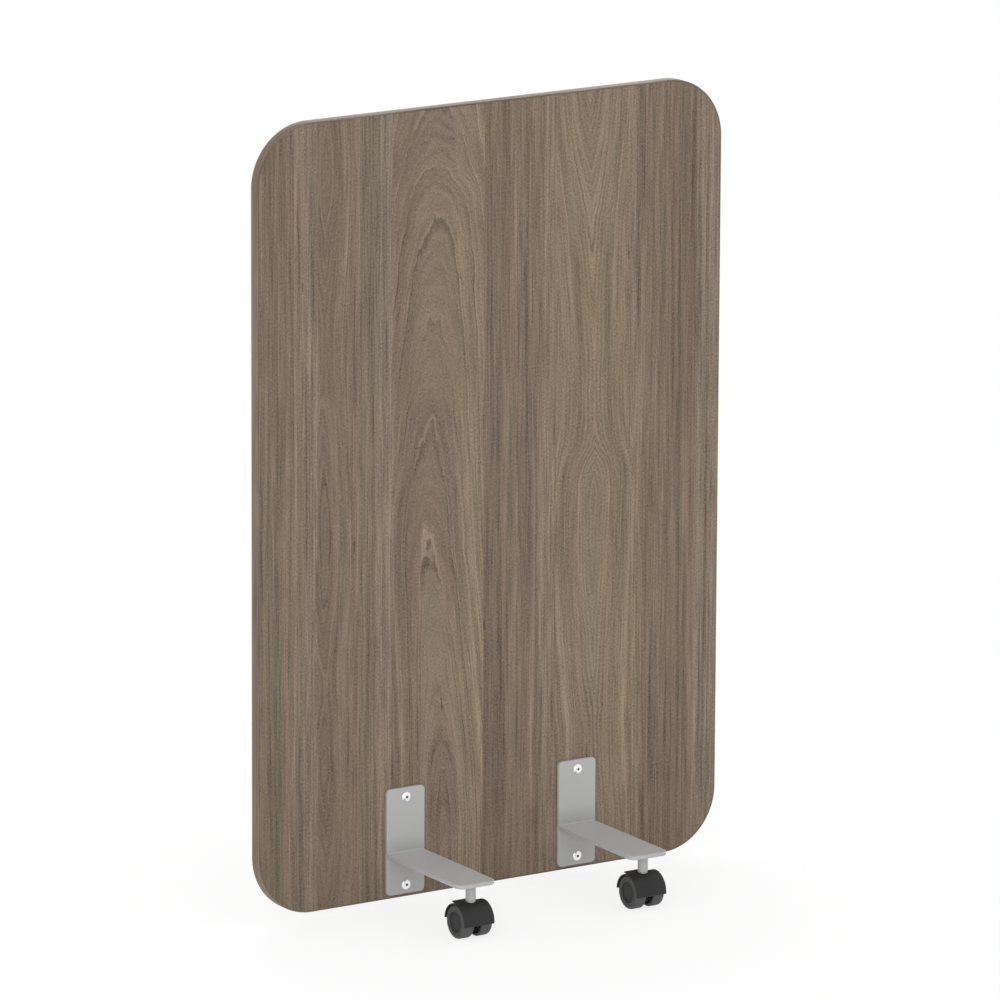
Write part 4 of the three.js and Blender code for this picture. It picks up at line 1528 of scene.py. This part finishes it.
def lever_outline(outer, reach):
    """Side view of the lever about the axle: the shoe below, the tab out to the rear."""
    inner_start = math.acos(LEVER_START / SHOE_RADIUS)
    outer_start = math.acos(LEVER_START / outer)
    tip = TAB_THICKNESS / 2
    top = outer - TAB_BELOW_CROWN
    heel = SHOE_RADIUS + SHOE_WALL
    return [
        *arc_points((0, 0), SHOE_RADIUS, inner_start, SHOE_END, 20),
        (heel * math.cos(SHOE_END), heel * math.sin(SHOE_END)),
        (TAB_ROOT, top - TAB_THICKNESS),
        *arc_points((reach - tip, top - tip), tip, -math.pi / 2, math.pi / 2, 10),
        *arc_points((0, 0), outer, LEVER_BEND, outer_start, 10),
    ]


def bevelled(mesh, width):
    """The same mesh with its sharp edges rounded."""
    made = loose("bevel_work", mesh)
    modifier = made.modifiers.new("soft_edges", "BEVEL")
    modifier.width = width
    modifier.segments = 3
    modifier.limit_method = "ANGLE"
    modifier.angle_limit = BEVEL_OVER
    modifier.use_clamp_overlap = True
    soft = evaluated(made)
    soft.set_sharp_from_angle(angle=LEVER_CREASE)
    return soft


def cheek_mesh(side):
    sunk = SHOE_RADIUS + CHEEK_SUNK
    right = PIVOT.x + CHEEK
    outline = arc_points(PIVOT, CHEEK, math.pi, 2 * math.pi, 16)
    outline += [(x, math.sqrt(sunk ** 2 - x ** 2)) for x in (right, LEVER_START)]
    plate = prism(outline, (CHEEK_OUTER - CHEEK_INNER) / 2)
    plate.transform(Matrix.Translation((side * (CHEEK_INNER + CHEEK_OUTER) / 2, 0, 0)))
    return plate


# %% Pedal ridges
RIDGES = 3
RIDGE_PITCH = 0.0024
RIDGE_RADIUS = 0.0004
RIDGE_MARGIN = 0.003
RIDGE_START = 0.0085


def ridge_tree():
    inputs = ("Width", "Radius", "Start", "Top", "Pitch")
    graph, given = geometry_tree("pedal_ridge_tree", inputs)
    bar = graph.node(
        "GeometryNodeMeshCylinder", fill_type="NGON",
        Vertices=16, Radius=given.out("Radius"), Depth=given.out("Width"),
    )
    across = (0.0, math.pi / 2, 0.0)
    laid = graph.node("GeometryNodeTransform", Geometry=bar, Rotation=across)
    line = graph.node(
        "GeometryNodeMeshLine", Count=RIDGES,
        Start_Location=graph.vector(0.0, given.out("Start"), given.out("Top")),
        Offset=graph.vector(0.0, given.out("Pitch"), 0.0),
    )
    ridges = graph.node("GeometryNodeInstanceOnPoints", Points=line, Instance=laid)
    return output(graph, added_to(graph, given, ridges), "housing_plastic")


def lever_mesh(outer, reach):
    plate = bevelled(prism(lever_outline(outer, reach), LEVER_HALF), LEVER_EDGE)
    for side in (-1, 1):
        plate = combined(plate, cheek_mesh(side), "UNION")
    sizes = {
        "Width": 2 * (LEVER_HALF - RIDGE_MARGIN),
        "Radius": RIDGE_RADIUS,
        "Start": reach - RIDGE_START,
        "Top": outer - TAB_BELOW_CROWN - RIDGE_RADIUS * 0.3,
        "Pitch": RIDGE_PITCH,
    }
    return grown("pedal", plate, ridge_tree(), sizes)


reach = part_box("brake_lever_front_left")[1].y - caster_middle("front_left").y
lever = lever_mesh(top_of("caster_hood") - caster_middle("front_left").z, reach)
at_casters("brake_pedal", "brake_lever", lever)
print("lever faces", len(lever.polygons))

# %% [markdown]
# ## Floor and light
# The floor is plain and nearly white. Seen by the camera it is mostly its own white, with a
# share of the real shading left in near the object, so that the casters keep a soft shadow.
# Most of the light comes from the sky, which is brightest overhead, as under a large studio
# ceiling. A wide soft lamp low at the front left reaches under the arms, and one behind keeps
# the rear from going flat.

# %% Floor
FLOOR_HALF = 30.0
FLOOR_TONE = (0.95, 0.95, 0.95, 1)
FLOOR_SHADOW = 0.2
SHADOW_NEAR = 0.3
SHADOW_FAR = 1.1
WHITE = (1, 1, 1, 1)


def camera_white(graph):
    """1 for rays that see the background, straight or in a reflection."""
    path = graph.node("ShaderNodeLightPath")
    seen_by = path + path.out("Is Glossy Ray") + path.out("Is Transmission Ray")
    return path.math("MINIMUM", seen_by, 1.0)


def floor_finish():
    material = bpy.data.materials.new("studio_floor")
    material.use_nodes = True
    material.node_tree.nodes.clear()
    graph = Graph(material.node_tree)
    point = graph.node("ShaderNodeTexCoord").out("Object")
    distance = graph.node("ShaderNodeVectorMath", point, operation="LENGTH").out("Value")
    shadow = (1 - graph.clamp(distance, SHADOW_NEAR, SHADOW_FAR)) * FLOOR_SHADOW
    plain = graph.node("ShaderNodeBsdfDiffuse", Color=FLOOR_TONE)
    glow = graph.node("ShaderNodeEmission", Color=WHITE, Strength=1.0)
    white = camera_white(graph) * (1 - shadow)
    mixed = graph.node("ShaderNodeMixShader", white, plain, glow)
    graph.node("ShaderNodeOutputMaterial", mixed)
    return material


def add_floor():
    mesh = bpy.data.meshes.new("studio_floor")
    corners = [(-1, -1), (1, -1), (1, 1), (-1, 1)]
    mesh.from_pydata([(x * FLOOR_HALF, y * FLOOR_HALF, 0) for x, y in corners], [], [(0, 1, 2, 3)])
    mesh.materials.append(floor_finish())
    loose("studio_floor", mesh)


# %% Lamps and sky
SKY_HORIZON = 0.69
SKY_ZENITH = 1.08
LAMP_DISTANCE = 4.5
LAMP_SIZE = 3.0


def add_lamp(name, turn, height, power):
    """A square soft lamp, turned and raised like the camera, in degrees."""
    lamp = bpy.data.lights.new(name, "AREA")
    lamp.energy = power
    lamp.size = LAMP_SIZE
    aimed(name, lamp, math.radians(turn), math.radians(height), LAMP_DISTANCE)


def add_sky():
    world = bpy.data.worlds.new("studio_sky")
    world.use_nodes = True
    graph = Graph(world.node_tree)
    background = world.node_tree.nodes["Background"]
    direction = graph.node("ShaderNodeTexCoord")
    rise = graph.node("ShaderNodeSeparateXYZ", direction).out("Z")
    sky = SKY_HORIZON - graph.clamp(rise, 0.0, 0.9) * (SKY_HORIZON - SKY_ZENITH)
    white = camera_white(graph)
    graph.feed(background.inputs["Strength"], white + (1 - white) * sky)
    background.inputs["Color"].default_value = WHITE
    bpy.context.scene.world = world


add_floor()
add_sky()
add_lamp("key_lamp", -38, 8, 46)
add_lamp("back_lamp", 150, 25, 45)
bpy.context.scene.view_settings.view_transform = "Standard"
